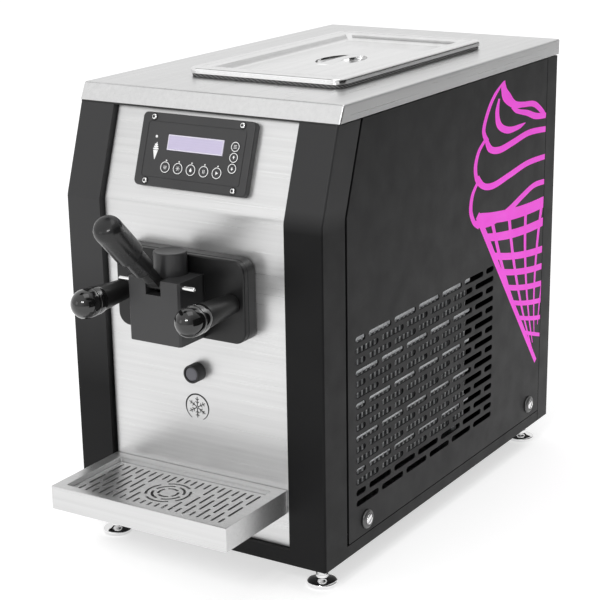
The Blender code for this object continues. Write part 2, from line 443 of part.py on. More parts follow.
tray = loft([frame_loop(tx, ty, tz0), frame_loop(tx, ty, tz1), frame_loop(in_x, in_y, tz1), frame_loop(in_x, in_y, tz1 - 6.4),
             frame_loop(grown(in_x, -5.0), grown(in_y, -5.0), tz1 - 6.4), frame_loop(grown(in_x, -5.0), grown(in_y, -5.0), tz1 - 7.6),
             frame_loop(grown(in_x, 1.2), grown(in_y, 1.2), tz1 - 7.6), frame_loop(grown(in_x, 1.2), grown(in_y, 1.2), tz1 - 1.2),
             frame_loop(grown(tx, -1.2), grown(ty, -1.2), tz1 - 1.2), frame_loop(grown(tx, -1.2), grown(ty, -1.2), tz0 + 1.2)])
hooks = [joined(box(x - 4.0, x + 4.0, ty[1] - 0.6, 9.8, tz0 + 10.0, tz0 + 12.0)) for x in hook_x]
hook_drops = [box(x - 4.0, x + 4.0, 7.8, 9.8, tz0 + 0.2, tz0 + 11.9) for x in hook_x]
part("drip_tray", tray, BRUSHED, add=hooks + hook_drops, origin=(-2.0, ty[1], tz0))
gx, gy = grown(in_x, -0.5), grown(in_y, -0.5)
gz = tz1 - 6.1
gcx, gcy = (gx[0] + gx[1]) / 2, (gy[0] + gy[1]) / 2
ring_clear = 26.0
grid_slots = []
for col in range(21):
    x = gcx + (col - 10) * 8.1
    lengths = [(0.06, 0.36), (0.42, 0.72), (0.78, 0.94)] if col % 2 else [(0.06, 0.22), (0.28, 0.58), (0.64, 0.94)]
    for a, b in lengths:
        ya, yb = gy[0] + a * (gy[1] - gy[0]), gy[0] + b * (gy[1] - gy[0])
        if abs(x - gcx) < ring_clear:
            half = math.sqrt(ring_clear ** 2 - (x - gcx) ** 2)
            if yb > gcy - half and ya < gcy:
                yb = min(yb, gcy - half)
            elif ya < gcy + half and yb > gcy:
                ya = max(ya, gcy + half)
            elif ya >= gcy - half and yb <= gcy + half:
                continue
        if yb - ya > 4.0:
            grid_slots.append(box(x - 1.3, x + 1.3, ya, yb, gz - 4.0, gz + 6.0))


def arc_slot(r, a0, a1, half=1.3, n=3):
    pts = [(gcx + (r + half) * math.cos(a0 + (a1 - a0) * i / n), gcy + (r + half) * math.sin(a0 + (a1 - a0) * i / n)) for i in range(n + 1)]
    pts += [(gcx + (r - half) * math.cos(a1 + (a0 - a1) * i / n), gcy + (r - half) * math.sin(a1 + (a0 - a1) * i / n)) for i in range(n + 1)]
    return prism("z", pts, gz - 4.0, gz + 6.0)


arcs = [arc_slot(r, math.radians(t + 90 * q + 9), math.radians(t + 90 * q + 81)) for r, t in ((9.5, 45), (15.5, 0), (21.5, 45)) for q in range(4)]
part("drip_grid", box(gx[0], gx[1], gy[0], gy[1], gz, gz + 1.2), BRUSHED, cut=[joined(*grid_slots), joined(*arcs)], origin=(gcx, gcy, gz))

# ------------------------------------------------------------------ levelling feet
for tag, (x, y) in feet_xy.items():
    part(f"foot_{tag}", turned("z", x, y, [(13.4, -FOOT_H), (15.0, -FOOT_H + 1.6), (15.0, -20.6), (12.0, -18.6), (6.0, -18.2), (6.0, 16.0)], 16), POLISHED, origin=(x, y, -FOOT_H))

# ------------------------------------------------------------------ cooling: condenser, fan, compressor
fins = 20
pitch = 240.0 / fins
cond_outline = [(112.0, 56.0)]
for k in range(fins):
    y = 56.0 + k * pitch
    cond_outline += [(136.0, y), (136.0, y + pitch * 0.5), (132.0, y + pitch * 0.5), (132.0, y + pitch)]
cond_outline += [(112.0, 56.0 + 240.0)]
part("condenser", prism("z", [(x, y) for x, y in cond_outline][1:-1] + [(112.0, 296.0), (112.0, 56.0)], 62.0, 214.0), ALU,
     add=[box(113.0, 131.0, 290.0, 306.0, 62.5, 213.5), box(113.0, 131.0, 46.5, 60.0, 62.5, 213.5), box(112.0, 131.0, 60.0, 70.0, 3.6, 66.0), box(112.0, 131.0, 282.0, 292.0, 3.6, 66.0)])
part("fan_shroud", box(96.0, 97.6, 60.0, 296.0, 46.0, 226.0), GALV,
     add=[box(96.0, 111.7, 60.0, 61.6, 62.0, 214.0), box(96.0, 111.7, 294.4, 296.0, 62.0, 214.0), box(80.0, 97.0, 70.0, 286.0, 3.6, 5.2), box(96.0, 97.6, 70.0, 286.0, 3.6, 60.0)],
     cut=[cylinder("x", FAN_Y, FAN_Z, 76.0, 90.0, 104.0, 28)])
blades = []
for k in range(5):
    a = 2 * math.pi * k / 5
    loops = []
    for r in (12.0, 42.0, 72.0):
        half = 9.0 + 0.24 * r
        loop = []
        for du, dx in ((-half, -3.4), (half, 3.4), (half, 5.0), (-half, -1.8)):
            y = FAN_Y + r * math.cos(a) - du * math.sin(a)
            z = FAN_Z + r * math.sin(a) + du * math.cos(a)
            loop.append((96.8 + dx, y, z))
        loops.append(loop)
    blades.append(loft(loops))
part("condenser_fan", cylinder("x", FAN_Y, FAN_Z, 15.0, 90.0, 104.0, 16), DARK_PLASTIC, add=blades,
     cut=[cylinder("x", FAN_Y, FAN_Z, 3.3, 80.0, 101.0, 10)], origin=(97.0, FAN_Y, FAN_Z))
part("fan_motor", cylinder("x", FAN_Y, FAN_Z, 32.0, 44.0, 86.0, 20), MOTOR_GREY,
     add=[cylinder("x", FAN_Y, FAN_Z, 3.0, 84.0, 100.6, 10), box(60.0, 64.0, FAN_Y - 20.0, FAN_Y + 20.0, 3.6, 120.0), box(46.0, 78.0, FAN_Y - 20.0, FAN_Y + 20.0, 3.6, 6.0)])
part("compressor", turned("z", -58.0, 372.0, [(58.0, 12.0), (66.0, 20.0), (66.0, 118.0), (62.0, 134.0), (46.0, 148.0), (20.0, 154.0)], 18), MOTOR_GREY,
     add=[box(-120.0, 4.0, 330.0, 414.0, 7.0, 13.0)] + [cylinder("z", x, y, 8.0, 3.6, 8.0, 8) for x in (-112.0, -4.0) for y in (338.0, 406.0)])

# ------------------------------------------------------------------ freezing cylinder, beater and drive
part("freezing_cylinder", turned("y", HEAD_X, AXIS_Z, [(44.0, 9.0), (44.0, 240.0)], 24), POLISHED,
     add=[box(HEAD_X - 49.5, HEAD_X + 49.5, 8.6, 12.0, 212.0, 302.0), box(HEAD_X - 20.0, HEAD_X + 20.0, 222.0, 226.0, 20.0, 216.0), box(HEAD_X - 20.0, HEAD_X + 20.0, 205.0, 226.0, 3.6, 22.0)],
     cut=[cylinder("y", HEAD_X, AXIS_Z, 33.0, 0.0, 235.0, 24), cylinder("y", HEAD_X, AXIS_Z, 6.0, 230.0, 250.0, 12), cylinder("z", FEED[0], FEED[1], 8.0, AXIS_Z, 320.0, 12)])
bars = [box(HEAD_X - 3.0, HEAD_X + 3.0, 14.0, 230.0, AXIS_Z + s * 29.0 - 3.0, AXIS_Z + s * 29.0 + 3.0) for s in (-1, 1)]
arms = [box(HEAD_X - 3.2, HEAD_X + 3.2, y - 3.0, y + 3.0, AXIS_Z - 28.0, AXIS_Z + 28.0) for y in (18.0, 90.0, 160.0, 226.0)]
part("beater", turned("y", HEAD_X, AXIS_Z, [(5.0, 10.0), (5.0, 284.0)], 12), WHITE_PLASTIC, add=arms + bars, origin=(HEAD_X, 120.0, AXIS_Z))
part("gear_motor", box(HEAD_X - 36.0, HEAD_X + 36.0, 262.0, 322.0, AXIS_Z - 36.0, AXIS_Z + 36.0), MOTOR_GREY,
     add=[cylinder("y", HEAD_X, AXIS_Z, 40.0, 320.0, 430.0, 20), box(HEAD_X - 30.0, HEAD_X + 30.0, 264.0, 268.0, 4.0, AXIS_Z - 30.0), box(HEAD_X - 30.0, HEAD_X + 30.0, 264.0, 296.0, 3.6, 6.0)],
     cut=[cylinder("y", HEAD_X, AXIS_Z, 5.6, 255.0, 288.0, 12)])
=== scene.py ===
"""Looks of the countertop soft serve machine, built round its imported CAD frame.

Shapes are drawn in the machine's own millimetres (x right, y back from the front face,
z up from the underside of the body) and turned into the row frame by world().
"""

import json
import math

import bmesh
import bpy
from mathutils import Matrix, Vector

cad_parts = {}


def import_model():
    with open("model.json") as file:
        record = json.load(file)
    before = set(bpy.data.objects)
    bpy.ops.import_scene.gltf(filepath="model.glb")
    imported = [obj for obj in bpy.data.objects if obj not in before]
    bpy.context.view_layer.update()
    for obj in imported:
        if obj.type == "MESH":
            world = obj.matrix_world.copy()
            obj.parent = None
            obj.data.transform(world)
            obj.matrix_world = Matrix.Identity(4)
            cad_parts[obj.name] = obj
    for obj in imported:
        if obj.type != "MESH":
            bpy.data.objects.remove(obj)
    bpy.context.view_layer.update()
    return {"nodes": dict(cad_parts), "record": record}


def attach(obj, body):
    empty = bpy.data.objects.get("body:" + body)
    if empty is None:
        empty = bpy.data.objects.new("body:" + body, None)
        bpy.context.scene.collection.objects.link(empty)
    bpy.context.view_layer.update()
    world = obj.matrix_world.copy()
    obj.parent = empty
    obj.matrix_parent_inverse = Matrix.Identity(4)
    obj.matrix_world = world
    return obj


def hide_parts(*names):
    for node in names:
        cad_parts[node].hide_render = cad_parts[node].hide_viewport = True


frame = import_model()
RECORD = frame["record"]
BODY_OF = {n: b for b, ns in RECORD["behaviour"]["bodies"].items() for n in ns}

# ------------------------------------------------------------------ dimensions, as in the CAD
MACHINE_Y, FOOT_H = 188.76, 26.0
HALF, BODY_D, BODY_TOP = 144.0, 500.0, 419.6
KNEE_Z, SLOPE_Z, SETBACK = 334.0, 421.0, 30.0
SHEET, POST_W, FLANGE_D, RAIL_H, SILL_H = 1.5, 40.0, 40.0, 15.0, 12.0
PANEL_SET, PANEL_HALF = 6.0, 102.8
COVER_OVER, COVER_Z0, COVER_Z1, COVER_T, REAR_STRIP = 1.5, 421.2, 437.5, 1.2, 24.5
LID_X, LID_Y = (-72.0, 102.0), (105.0, 401.0)
PAN_X, PAN_Y, PAN_FLOOR = (-56.5, 86.5), (120.5, 385.5), 345.0
HEAD_X, AXIS_Z = -3.5, 257.0
HEAD_HALF_W, HEAD_Z, HEAD_REAR, HEAD_FRONT = 72.7, (217.5, 296.5), 5.7, -14.0
BLOCK_HALF, BLOCK_FRONT, BLOCK_Z = 29.0, -54.0, (220.0, 280.5)
PLUNGER_Y, PLUNGER_R = -26.0, 15.8
PIVOT_Y, PIVOT_Z = -48.0, 275.5
LEVER_UP, FINGER_DOWN = math.radians(44.5), math.radians(25.0)
STUD_OFF, STUD_Z = 58.5, 256.0
TRAY_X, TRAY_Y, TRAY_Z = (-103.0, 99.0), (-97.0, 5.7), (50.0, 74.0)
FAN_Y, FAN_Z = 178.0, 136.0
TILT = math.atan2(SETBACK, SLOPE_Z - KNEE_Z)
PLATE_X, PLATE_S = -3.0, 50.7
GAP = 0.3
FEED = (HEAD_X, 212.0)
FEET = {"fl": (-124.0, 26.0), "fr": (124.0, 26.0), "rl": (-124.0, 474.0), "rr": (124.0, 474.0)}


def world(p):
    return (p[0] / 1000.0, (p[1] - MACHINE_Y) / 1000.0, (p[2] + FOOT_H) / 1000.0)


def on_slope(p):
    """Point drawn on the sloped panel (x, square inwards, up the slope) in machine axes."""
    x, y, z = p
    s, c = math.sin(TILT), math.cos(TILT)
    return (PLATE_X + x, PLATE_S * s + PANEL_SET + y * c + z * s, KNEE_Z + PLATE_S * c - y * s + z * c)


def front_y(z):
    """Front face of the frame at height z, with a small bend radius at the knee."""
    slope = SETBACK / (SLOPE_Z - KNEE_Z)
    r = 2.5
    if z <= KNEE_Z - r:
        return 0.0
    if z >= KNEE_Z + r:
        return slope * (z - KNEE_Z)
    return slope * (z - KNEE_Z + r) ** 2 / (4 * r)


# ------------------------------------------------------------------ materials
def nodes_of(mat):
    mat.use_nodes = True
    tree = mat.node_tree
    return tree, tree.nodes["Principled BSDF"]


def put(tree, kind, values=None, **props):
    n = tree.nodes.new(kind)
    for k, v in props.items():
        setattr(n, k, v)
    for k, v in (values or {}).items():
        n.inputs[k].default_value = v
    return n


def scaled_coords(tree, scale):
    tc = put(tree, "ShaderNodeTexCoord")
    mp = put(tree, "ShaderNodeMapping", {"Scale": scale})
    tree.links.new(tc.outputs["Object"], mp.inputs["Vector"])
    return mp.outputs["Vector"]


def noise(tree, scale_xyz, scale=1.0, detail=3.0, rough=0.55):
    n = put(tree, "ShaderNodeTexNoise", {"Scale": scale, "Detail": detail, "Roughness": rough})
    tree.links.new(scaled_coords(tree, scale_xyz), n.inputs["Vector"])
    return n.outputs["Fac"]


def ranged(tree, fac, lo, hi, f0=0.3, f1=0.7):
    m = put(tree, "ShaderNodeMapRange", {"From Min": f0, "From Max": f1, "To Min": lo, "To Max": hi})
    tree.links.new(fac, m.inputs["Value"])
    return m.outputs["Result"]


def colours(tree, fac, a, b, f0=0.3, f1=0.7):
    r = put(tree, "ShaderNodeValToRGB")
    r.color_ramp.elements[0].position, r.color_ramp.elements[0].color = f0, (*a, 1.0)
    r.color_ramp.elements[1].position, r.color_ramp.elements[1].color = f1, (*b, 1.0)
    tree.links.new(fac, r.inputs["Fac"])
    return r.outputs["Color"]


def bumped(tree, bsdf, layers):
    last = None
    for fac, strength, distance in layers:
        b = put(tree, "ShaderNodeBump", {"Strength": strength, "Distance": distance})
        tree.links.new(fac, b.inputs["Height"])
        if last is not None:
            tree.links.new(last, b.inputs["Normal"])
        last = b.outputs["Normal"]
    tree.links.new(last, bsdf.inputs["Normal"])


def make_plain(name, a, b, rough, metal=0.0, grain=(900.0, 900.0, 900.0), bump=0.12, depth=0.00015, coat=0.0, spec=0.5, blotch=14.0):
    """Paint, plastic or rubber: two-tone blotches, fine grain in the surface and an uneven sheen."""
    mat = bpy.data.materials.new(name)
    tree, bsdf = nodes_of(mat)
    large = noise(tree, (blotch, blotch, blotch), 1.0, 3.0)
    fine = noise(tree, grain, 1.0, 2.0)
    tree.links.new(colours(tree, large, a, b), bsdf.inputs["Base Color"])
    tree.links.new(ranged(tree, noise(tree, (40.0, 40.0, 40.0), 1.0, 4.0), rough[0], rough[1]), bsdf.inputs["Roughness"])
    bsdf.inputs["Metallic"].default_value = metal
    bsdf.inputs["Specular IOR Level"].default_value = spec
    bsdf.inputs["Coat Weight"].default_value = coat
    bsdf.inputs["Coat Roughness"].default_value = 0.08
    bumped(tree, bsdf, [(fine, bump, depth)])
    return mat


def make_steel(name, a, b, rough, along, fine=1500.0, bump=0.05, long=6.0, aniso=0.0):
    """Steel with a grain that runs along one axis: streaks in colour, sheen and surface."""
    mat = bpy.data.materials.new(name)
    tree, bsdf = nodes_of(mat)
    scale = [fine, fine, fine]
    scale["xyz".index(along)] = long
    wide = [s / 6.0 for s in scale]
    wide["xyz".index(along)] = 2.0
    streak = noise(tree, tuple(scale), 1.0, 2.0)
    band = noise(tree, tuple(wide), 1.0, 3.0)
    cloud = noise(tree, (7.0, 7.0, 7.0), 1.0, 3.0)
    mixed = put(tree, "ShaderNodeMath", operation="ADD")
    tree.links.new(band, mixed.inputs[0])
    tree.links.new(ranged(tree, cloud, -0.12, 0.12), mixed.inputs[1])
    tree.links.new(colours(tree, mixed.outputs["Value"], a, b, 0.25, 0.75), bsdf.inputs["Base Color"])
    tree.links.new(ranged(tree, streak, rough[0], rough[1]), bsdf.inputs["Roughness"])
    bsdf.inputs["Metallic"].default_value = 1.0
    bsdf.inputs["Anisotropic"].default_value = aniso
    bumped(tree, bsdf, [(streak, bump, 0.0001)])
    return mat


PAINT = make_plain("looks_black_powder_coat", (0.0072, 0.0072, 0.0076), (0.0095, 0.0095, 0.0099), (0.38, 0.48), bump=0.14, depth=0.00010, grain=(1300.0,) * 3, spec=0.17, blotch=6.0)
# Frame paint with painted light and shade: its base colour runs from near black to dark grey by place, not by lamp. The
# left post is painted lighter from about 144 mm up and both posts are painted lighter above the knee, a painted sheen;
# the right post below the knee stays near black, painted shade.
FRAME_PAINT_WITH_PAINTED_LIGHT = make_plain("looks_black_powder_coat_frame_painted_light", (0.0072, 0.0072, 0.0076), (0.0095, 0.0095, 0.0099), (0.38, 0.48), bump=0.14, depth=0.00010, grain=(1300.0,) * 3, spec=0.16, blotch=6.0)
_t, _b = nodes_of(FRAME_PAINT_WITH_PAINTED_LIGHT)
_sep = put(_t, "ShaderNodeSeparateXYZ")
_t.links.new(scaled_coords(_t, (1.0, 1.0, 1.0)), _sep.inputs["Vector"])
_left = ranged(_t, _sep.outputs["X"], 1.0, 0.0, -0.02, 0.02)
_left_post_painted_light = put(_t, "ShaderNodeMath", operation="MULTIPLY")
_t.links.new(_left, _left_post_painted_light.inputs[0])
_t.links.new(ranged(_t, _sep.outputs["Z"], 0.0, 1.15, 0.17, 0.30), _left_post_painted_light.inputs[1])
_painted_light_mask = put(_t, "ShaderNodeMath", operation="MAXIMUM")
_t.links.new(_left_post_painted_light.outputs["Value"], _painted_light_mask.inputs[0])
_t.links.new(ranged(_t, _sep.outputs["Z"], 0.0, 0.92, 0.352, 0.372), _painted_light_mask.inputs[1])
_t.links.new(colours(_t, ranged(_t, _painted_light_mask.outputs["Value"], 0.0, 1.0, 0.0, 1.15), (0.0036, 0.0036, 0.0039), (0.0430, 0.0430, 0.0438), 0.0, 1.0), _b.inputs["Base Color"])
# Gasket with painted light: diagonal bands from near black to light grey in its base colour are painted highlights and
# shade of ribs, standing in for reflections along the rim.
GASKET_PAINTED_RIB_SHADING = make_plain("looks_gasket_painted_rib_shading", (0.010, 0.010, 0.010), (0.020, 0.020, 0.020), (0.24, 0.40), bump=0.10)
_t, _b = nodes_of(GASKET_PAINTED_RIB_SHADING)
_painted_rib_bands = put(_t, "ShaderNodeTexWave", {"Scale": 1.0, "Distortion": 0.6, "Detail": 1.0}, wave_type="BANDS", bands_direction="DIAGONAL")
_t.links.new(scaled_coords(_t, (105.0, 105.0, 240.0)), _painted_rib_bands.inputs["Vector"])
_t.links.new(colours(_t, _painted_rib_bands.outputs["Fac"], (0.008, 0.008, 0.008), (0.20, 0.20, 0.20), 0.45, 0.85), _b.inputs["Base Color"])
STEEL_X = make_steel("looks_brushed_steel_across", (0.615, 0.615, 0.615), (0.685, 0.685, 0.685), (0.27, 0.40), "x")
STEEL_X.node_tree.nodes["Principled BSDF"].inputs["Metallic"].default_value = 0.86
STEEL_Y = make_steel("looks_brushed_steel_lengthwise", (0.70, 0.70, 0.70), (0.77, 0.77, 0.77), (0.26, 0.40), "y")
STEEL_Z = make_steel("looks_brushed_steel_upright", (0.78, 0.78, 0.77), (0.88, 0.88, 0.87), (0.26, 0.40), "z")
POLISHED = make_steel("looks_polished_steel", (0.80, 0.80, 0.80), (0.88, 0.88, 0.88), (0.10, 0.18), "y", fine=500.0, bump=0.015, long=40.0)
CHROME = make_plain("looks_bright_chrome", (0.80, 0.80, 0.80), (0.90, 0.90, 0.90), (0.05, 0.16), metal=1.0, bump=0.03, grain=(300.0,) * 3)
NICKEL = make_plain("looks_dark_nickel", (0.10, 0.10, 0.10), (0.17, 0.17, 0.17), (0.24, 0.36), metal=0.7, bump=0.04, grain=(500.0,) * 3)
GALV = make_plain("looks_galvanised_sheet", (0.36, 0.37, 0.39), (0.60, 0.61, 0.63), (0.32, 0.52), metal=1.0, bump=0.06, blotch=160.0)
PLATE = make_plain("looks_dark_grey_plate", (0.034, 0.034, 0.035), (0.041, 0.041, 0.042), (0.38, 0.50), bump=0.10, grain=(1500.0,) * 3, spec=0.4)
KEYCAP = make_plain("looks_key_cap", (0.032, 0.032, 0.034), (0.042, 0.042, 0.044), (0.30, 0.42), bump=0.05, spec=0.4)
FAN_PLASTIC = make_plain("looks_fan_plastic", (0.010, 0.010, 0.011), (0.018, 0.018, 0.019), (0.36, 0.50))
ACETAL = make_plain("looks_black_acetal", (0.028, 0.028, 0.029), (0.038, 0.038, 0.039), (0.30, 0.42), bump=0.06, grain=(700.0,) * 3, spec=0.42)
# Head acetal with painted shadow: parts more than 18.5 mm in front of the panel keep the acetal tone, while the flange
# and the rear of the block's sides are painted near black, the shadow the block casts on the flange.
HEAD_ACETAL_PAINTED_SHADE = make_plain("looks_black_acetal_head_painted_shade", (0.028, 0.028, 0.029), (0.038, 0.038, 0.039), (0.30, 0.42), bump=0.06, grain=(700.0,) * 3, spec=0.42)
_t, _b = nodes_of(HEAD_ACETAL_PAINTED_SHADE)
_sep = put(_t, "ShaderNodeSeparateXYZ")
_t.links.new(scaled_coords(_t, (1.0, 1.0, 1.0)), _sep.inputs["Vector"])
_t.links.new(colours(_t, ranged(_t, _sep.outputs["Y"], 1.0, 0.0, (-18.5 - MACHINE_Y) / 1000.0, (-15.5 - MACHINE_Y) / 1000.0), (0.0040, 0.0040, 0.0042), (0.0340, 0.0340, 0.0350), 0.0, 1.0), _b.inputs["Base Color"])
GRIP = make_plain("looks_black_grip", (0.007, 0.007, 0.0075), (0.012, 0.012, 0.0125), (0.22, 0.32), bump=0.05, grain=(600.0,) * 3, spec=0.45)
GLOSS = make_plain("looks_gloss_black", (0.004, 0.004, 0.004), (0.008, 0.008, 0.008), (0.04, 0.10), bump=0.01, grain=(120.0,) * 3, coat=0.6)
MATT_BLACK = make_plain("looks_matt_black_stem", (0.006, 0.006, 0.006), (0.012, 0.012, 0.012), (0.34, 0.48), bump=0.05)
RUBBER = make_plain("looks_black_rubber", (0.012, 0.012, 0.013), (0.024, 0.024, 0.025), (0.50, 0.68), bump=0.14)
SLATE = make_plain("looks_slate_plug_face", (0.085, 0.085, 0.10), (0.12, 0.12, 0.135), (0.30, 0.44), bump=0.08)
MOTOR = make_plain("looks_motor_enamel", (0.05, 0.052, 0.055), (0.09, 0.093, 0.097), (0.30, 0.46), bump=0.12, grain=(500.0,) * 3)
FOOD_WHITE = make_plain("looks_white_food_plastic", (0.74, 0.74, 0.70), (0.84, 0.84, 0.81), (0.30, 0.42), bump=0.05)
PRINT_WHITE = make_plain("looks_white_print", (0.80, 0.80, 0.80), (0.90, 0.90, 0.90), (0.40, 0.55), bump=0.04)
# Dark print for the snowflake; the same colour also paints shade in the plate screws' sockets and round their heads.
DARK_PRINT_AND_PAINTED_SHADE = make_plain("looks_dark_print_and_painted_shade", (0.010, 0.010, 0.010), (0.020, 0.020, 0.020), (0.40, 0.55), bump=0.04, spec=0.2)
MAGENTA = make_plain("looks_magenta_vinyl", (0.84, 0.050, 0.66), (0.92, 0.065, 0.74), (0.36, 0.48), bump=0.05, grain=(1000.0,) * 3, spec=0.3)
# The emission makes the magenta vinyl glow: painted light, the decal is no lamp.
MAGENTA.node_tree.nodes["Principled BSDF"].inputs["Emission Color"].default_value = (0.86, 0.05, 0.70, 1.0)
MAGENTA.node_tree.nodes["Principled BSDF"].inputs["Emission Strength"].default_value = 0.30
FINS = make_plain("looks_aluminium_fins", (0.16, 0.163, 0.166), (0.30, 0.303, 0.306), (0.30, 0.50), metal=0.6, bump=0.05, blotch=90.0)
TUBES = make_plain("looks_condenser_tubes", (0.66, 0.67, 0.68), (0.92, 0.93, 0.94), (0.25, 0.45), metal=0.2, bump=0.25, blotch=420.0)
# The emission makes the tubes and the guard wires glow behind the vents: painted light.
TUBES.node_tree.nodes["Principled BSDF"].inputs["Emission Color"].default_value = (0.9, 0.92, 0.95, 1.0)
TUBES.node_tree.nodes["Principled BSDF"].inputs["Emission Strength"].default_value = 0.16
FIN_EDGES_PAINTED_GLOW = make_plain("looks_fin_edges_painted_glow", (0.34, 0.345, 0.35), (0.80, 0.805, 0.81), (0.30, 0.50), metal=0.2, bump=0.15, blotch=300.0)
# The emission makes the guard bars glow behind the vents: painted light.
FIN_EDGES_PAINTED_GLOW.node_tree.nodes["Principled BSDF"].inputs["Emission Color"].default_value = (0.9, 0.92, 0.95, 1.0)
FIN_EDGES_PAINTED_GLOW.node_tree.nodes["Principled BSDF"].inputs["Emission Strength"].default_value = 0.05
# The pipe bends are given a near black colour: painted shade of the dark inside behind the vents.
PIPE_BENDS_PAINTED_SHADE = make_plain("looks_pipe_bends_painted_shade", (0.030, 0.031, 0.033), (0.055, 0.056, 0.058), (0.30, 0.44), bump=0.08, blotch=60.0)

DISPLAY = bpy.data.materials.new("looks_display_lavender")
_t, _b = nodes_of(DISPLAY)
_dots = put(_t, "ShaderNodeTexVoronoi", {"Scale": 1.0, "Randomness": 0.0}, distance="CHEBYCHEV")
_t.links.new(scaled_coords(_t, (1400.0, 1400.0, 1400.0)), _dots.inputs["Vector"])
_cells = colours(_t, _dots.outputs["Distance"], (0.54, 0.49, 0.66), (0.50, 0.455, 0.62), 0.30, 0.46)
_haze = colours(_t, noise(_t, (30.0, 30.0, 30.0), 1.0, 3.0), (0.96, 0.96, 0.96), (1.0, 1.0, 1.0))
_mix = put(_t, "ShaderNodeMix", data_type="RGBA", blend_type="MULTIPLY")
_mix.inputs[0].default_value = 1.0
_t.links.new(_cells, _mix.inputs[6])
_t.links.new(_haze, _mix.inputs[7])
_t.links.new(_mix.outputs[2], _b.inputs["Base Color"])
_t.links.new(ranged(_t, noise(_t, (50.0, 50.0, 50.0)), 0.16, 0.26), _b.inputs["Roughness"])
_b.inputs["Emission Color"].default_value = (0.55, 0.50, 0.68, 1.0)
_b.inputs["Emission Strength"].default_value = 0.02


# ------------------------------------------------------------------ shapes
def box(x0, x1, y0, y1, z0, z1):
    v = [(x, y, z) for z in (z0, z1) for y in (y0, y1) for x in (x0, x1)]
    return v, [(0, 2, 3, 1), (4, 5, 7, 6), (0, 1, 5, 4), (2, 6, 7, 3), (0, 4, 6, 2), (1, 3, 7, 5)]


def at(axis, a, u, w):
    return {"x": (a, u, w), "y": (u, a, w), "z": (u, w, a)}[axis]


def prism(axis, outline, a0, a1):
    n = len(outline)
    v = [at(axis, a, u, w) for a in (a0, a1) for u, w in outline]
    f = [tuple(range(n)), tuple(range(2 * n - 1, n - 1, -1))]
    return v, f + [(i, (i + 1) % n, n + (i + 1) % n, n + i) for i in range(n)]


def loft(loops, ends=True):
    n = len(loops[0])
    v = [p for loop in loops for p in loop]
    f = [tuple(range(n)), tuple(range(len(v) - 1, len(v) - n - 1, -1))] if ends else []
    for k in range(len(loops) - 1):
        f += [(k * n + i, k * n + (i + 1) % n, (k + 1) * n + (i + 1) % n, (k + 1) * n + i) for i in range(n)]
    if not ends:
        k = len(loops) - 1
        f += [(k * n + i, k * n + (i + 1) % n, (i + 1) % n, i) for i in range(n)]
    return v, f


def circle(cu, cw, r, n, turn=0.0):
    return [(cu + r * math.cos(turn + 2 * math.pi * i / n), cw + r * math.sin(turn + 2 * math.pi * i / n)) for i in range(n)]


def cylinder(axis, cu, cw, r, a0, a1, n=40):
    return prism(axis, circle(cu, cw, r, n, math.pi / n), a0, a1)


def turned(axis, cu, cw, profile, n=48):
    return loft([[at(axis, a, u, w) for u, w in circle(cu, cw, max(r, 0.02), n, math.pi / n)] for r, a in profile])


def washer(axis, cu, cw, r0, r1, a0, a1, n=40):
    """Flat ring with a hole."""
    return loft([[at(axis, a, u, w) for u, w in circle(cu, cw, r, n)] for r, a in ((r0, a0), (r1, a0), (r1, a1), (r0, a1))], ends=False)


def rounded(x0, x1, y0, y1, r, n=8):
    out = []
    for cx, cy, a in ((x1 - r, y0 + r, -90), (x1 - r, y1 - r, 0), (x0 + r, y1 - r, 90), (x0 + r, y0 + r, 180)):
        for i in range(n + 1):
            t = math.radians(a + 90.0 * i / n)
            out.append((cx + r * math.cos(t), cy + r * math.sin(t)))
    return out


def rect_loop(xr, yr, r, z, grow=0.0, n=9):
    return [(x, y, z) for x, y in rounded(xr[0] - grow, xr[1] + grow, yr[0] - grow, yr[1] + grow, max(r + grow, 0.6), n)]


def slot_outline(a, b, z0, high, n=6):
    """Slot from a to b with round ends."""
    r, zc, out = high / 2, z0 + high / 2, []
    for i in range(n + 1):
        t = math.radians(-90 + 180.0 * i / n)
        out.append((b - r + r * math.cos(t), zc + r * math.sin(t)))
    for i in range(n + 1):
        t = math.radians(90 + 180.0 * i / n)
        out.append((a + r + r * math.cos(t), zc + r * math.sin(t)))
    return out


def leaning(outline, z0, z1):
    """Extrudes an (x, depth) outline upwards along the leaning front, with a bend at the knee."""
    levels = [z0] + [z for z in (KNEE_Z - 2.5, KNEE_Z - 1.25, KNEE_Z, KNEE_Z + 1.25, KNEE_Z + 2.5) if z0 < z < z1] + [z1]
    return loft([[(x, front_y(z) + d, z) for x, d in outline] for z in levels])


def joined(*shapes):
    v, f = [], []
    for sv, sf in shapes:
        f += [tuple(i + len(v) for i in face) for face in sf]
        v += sv
    return v, f


def mirrored(shape):
    v, f = shape
    return [(-x, y, z) for x, y, z in v], [tuple(reversed(face)) for face in f]


def moved(shape, how):
    v, f = shape
    return [how(p) for p in v], f


def raw(name, shape, how=None):
    v, f = shape
    mesh = bpy.data.meshes.new(name)
    mesh.from_pydata([world(how(p) if how else p) for p in v], [], f)
    bm = bmesh.new()
    bm.from_mesh(mesh)
    bmesh.ops.recalc_face_normals(bm, faces=bm.faces)
    bm.to_mesh(mesh)
    bm.free()
    obj = bpy.data.objects.new(name, mesh)
    bpy.context.scene.collection.objects.link(obj)
    return obj


def applied(obj):
    bpy.context.view_layer.update()
    done = bpy.data.meshes.new_from_object(obj.evaluated_get(bpy.context.evaluated_depsgraph_get()))
    obj.modifiers.clear()
    obj.data = done


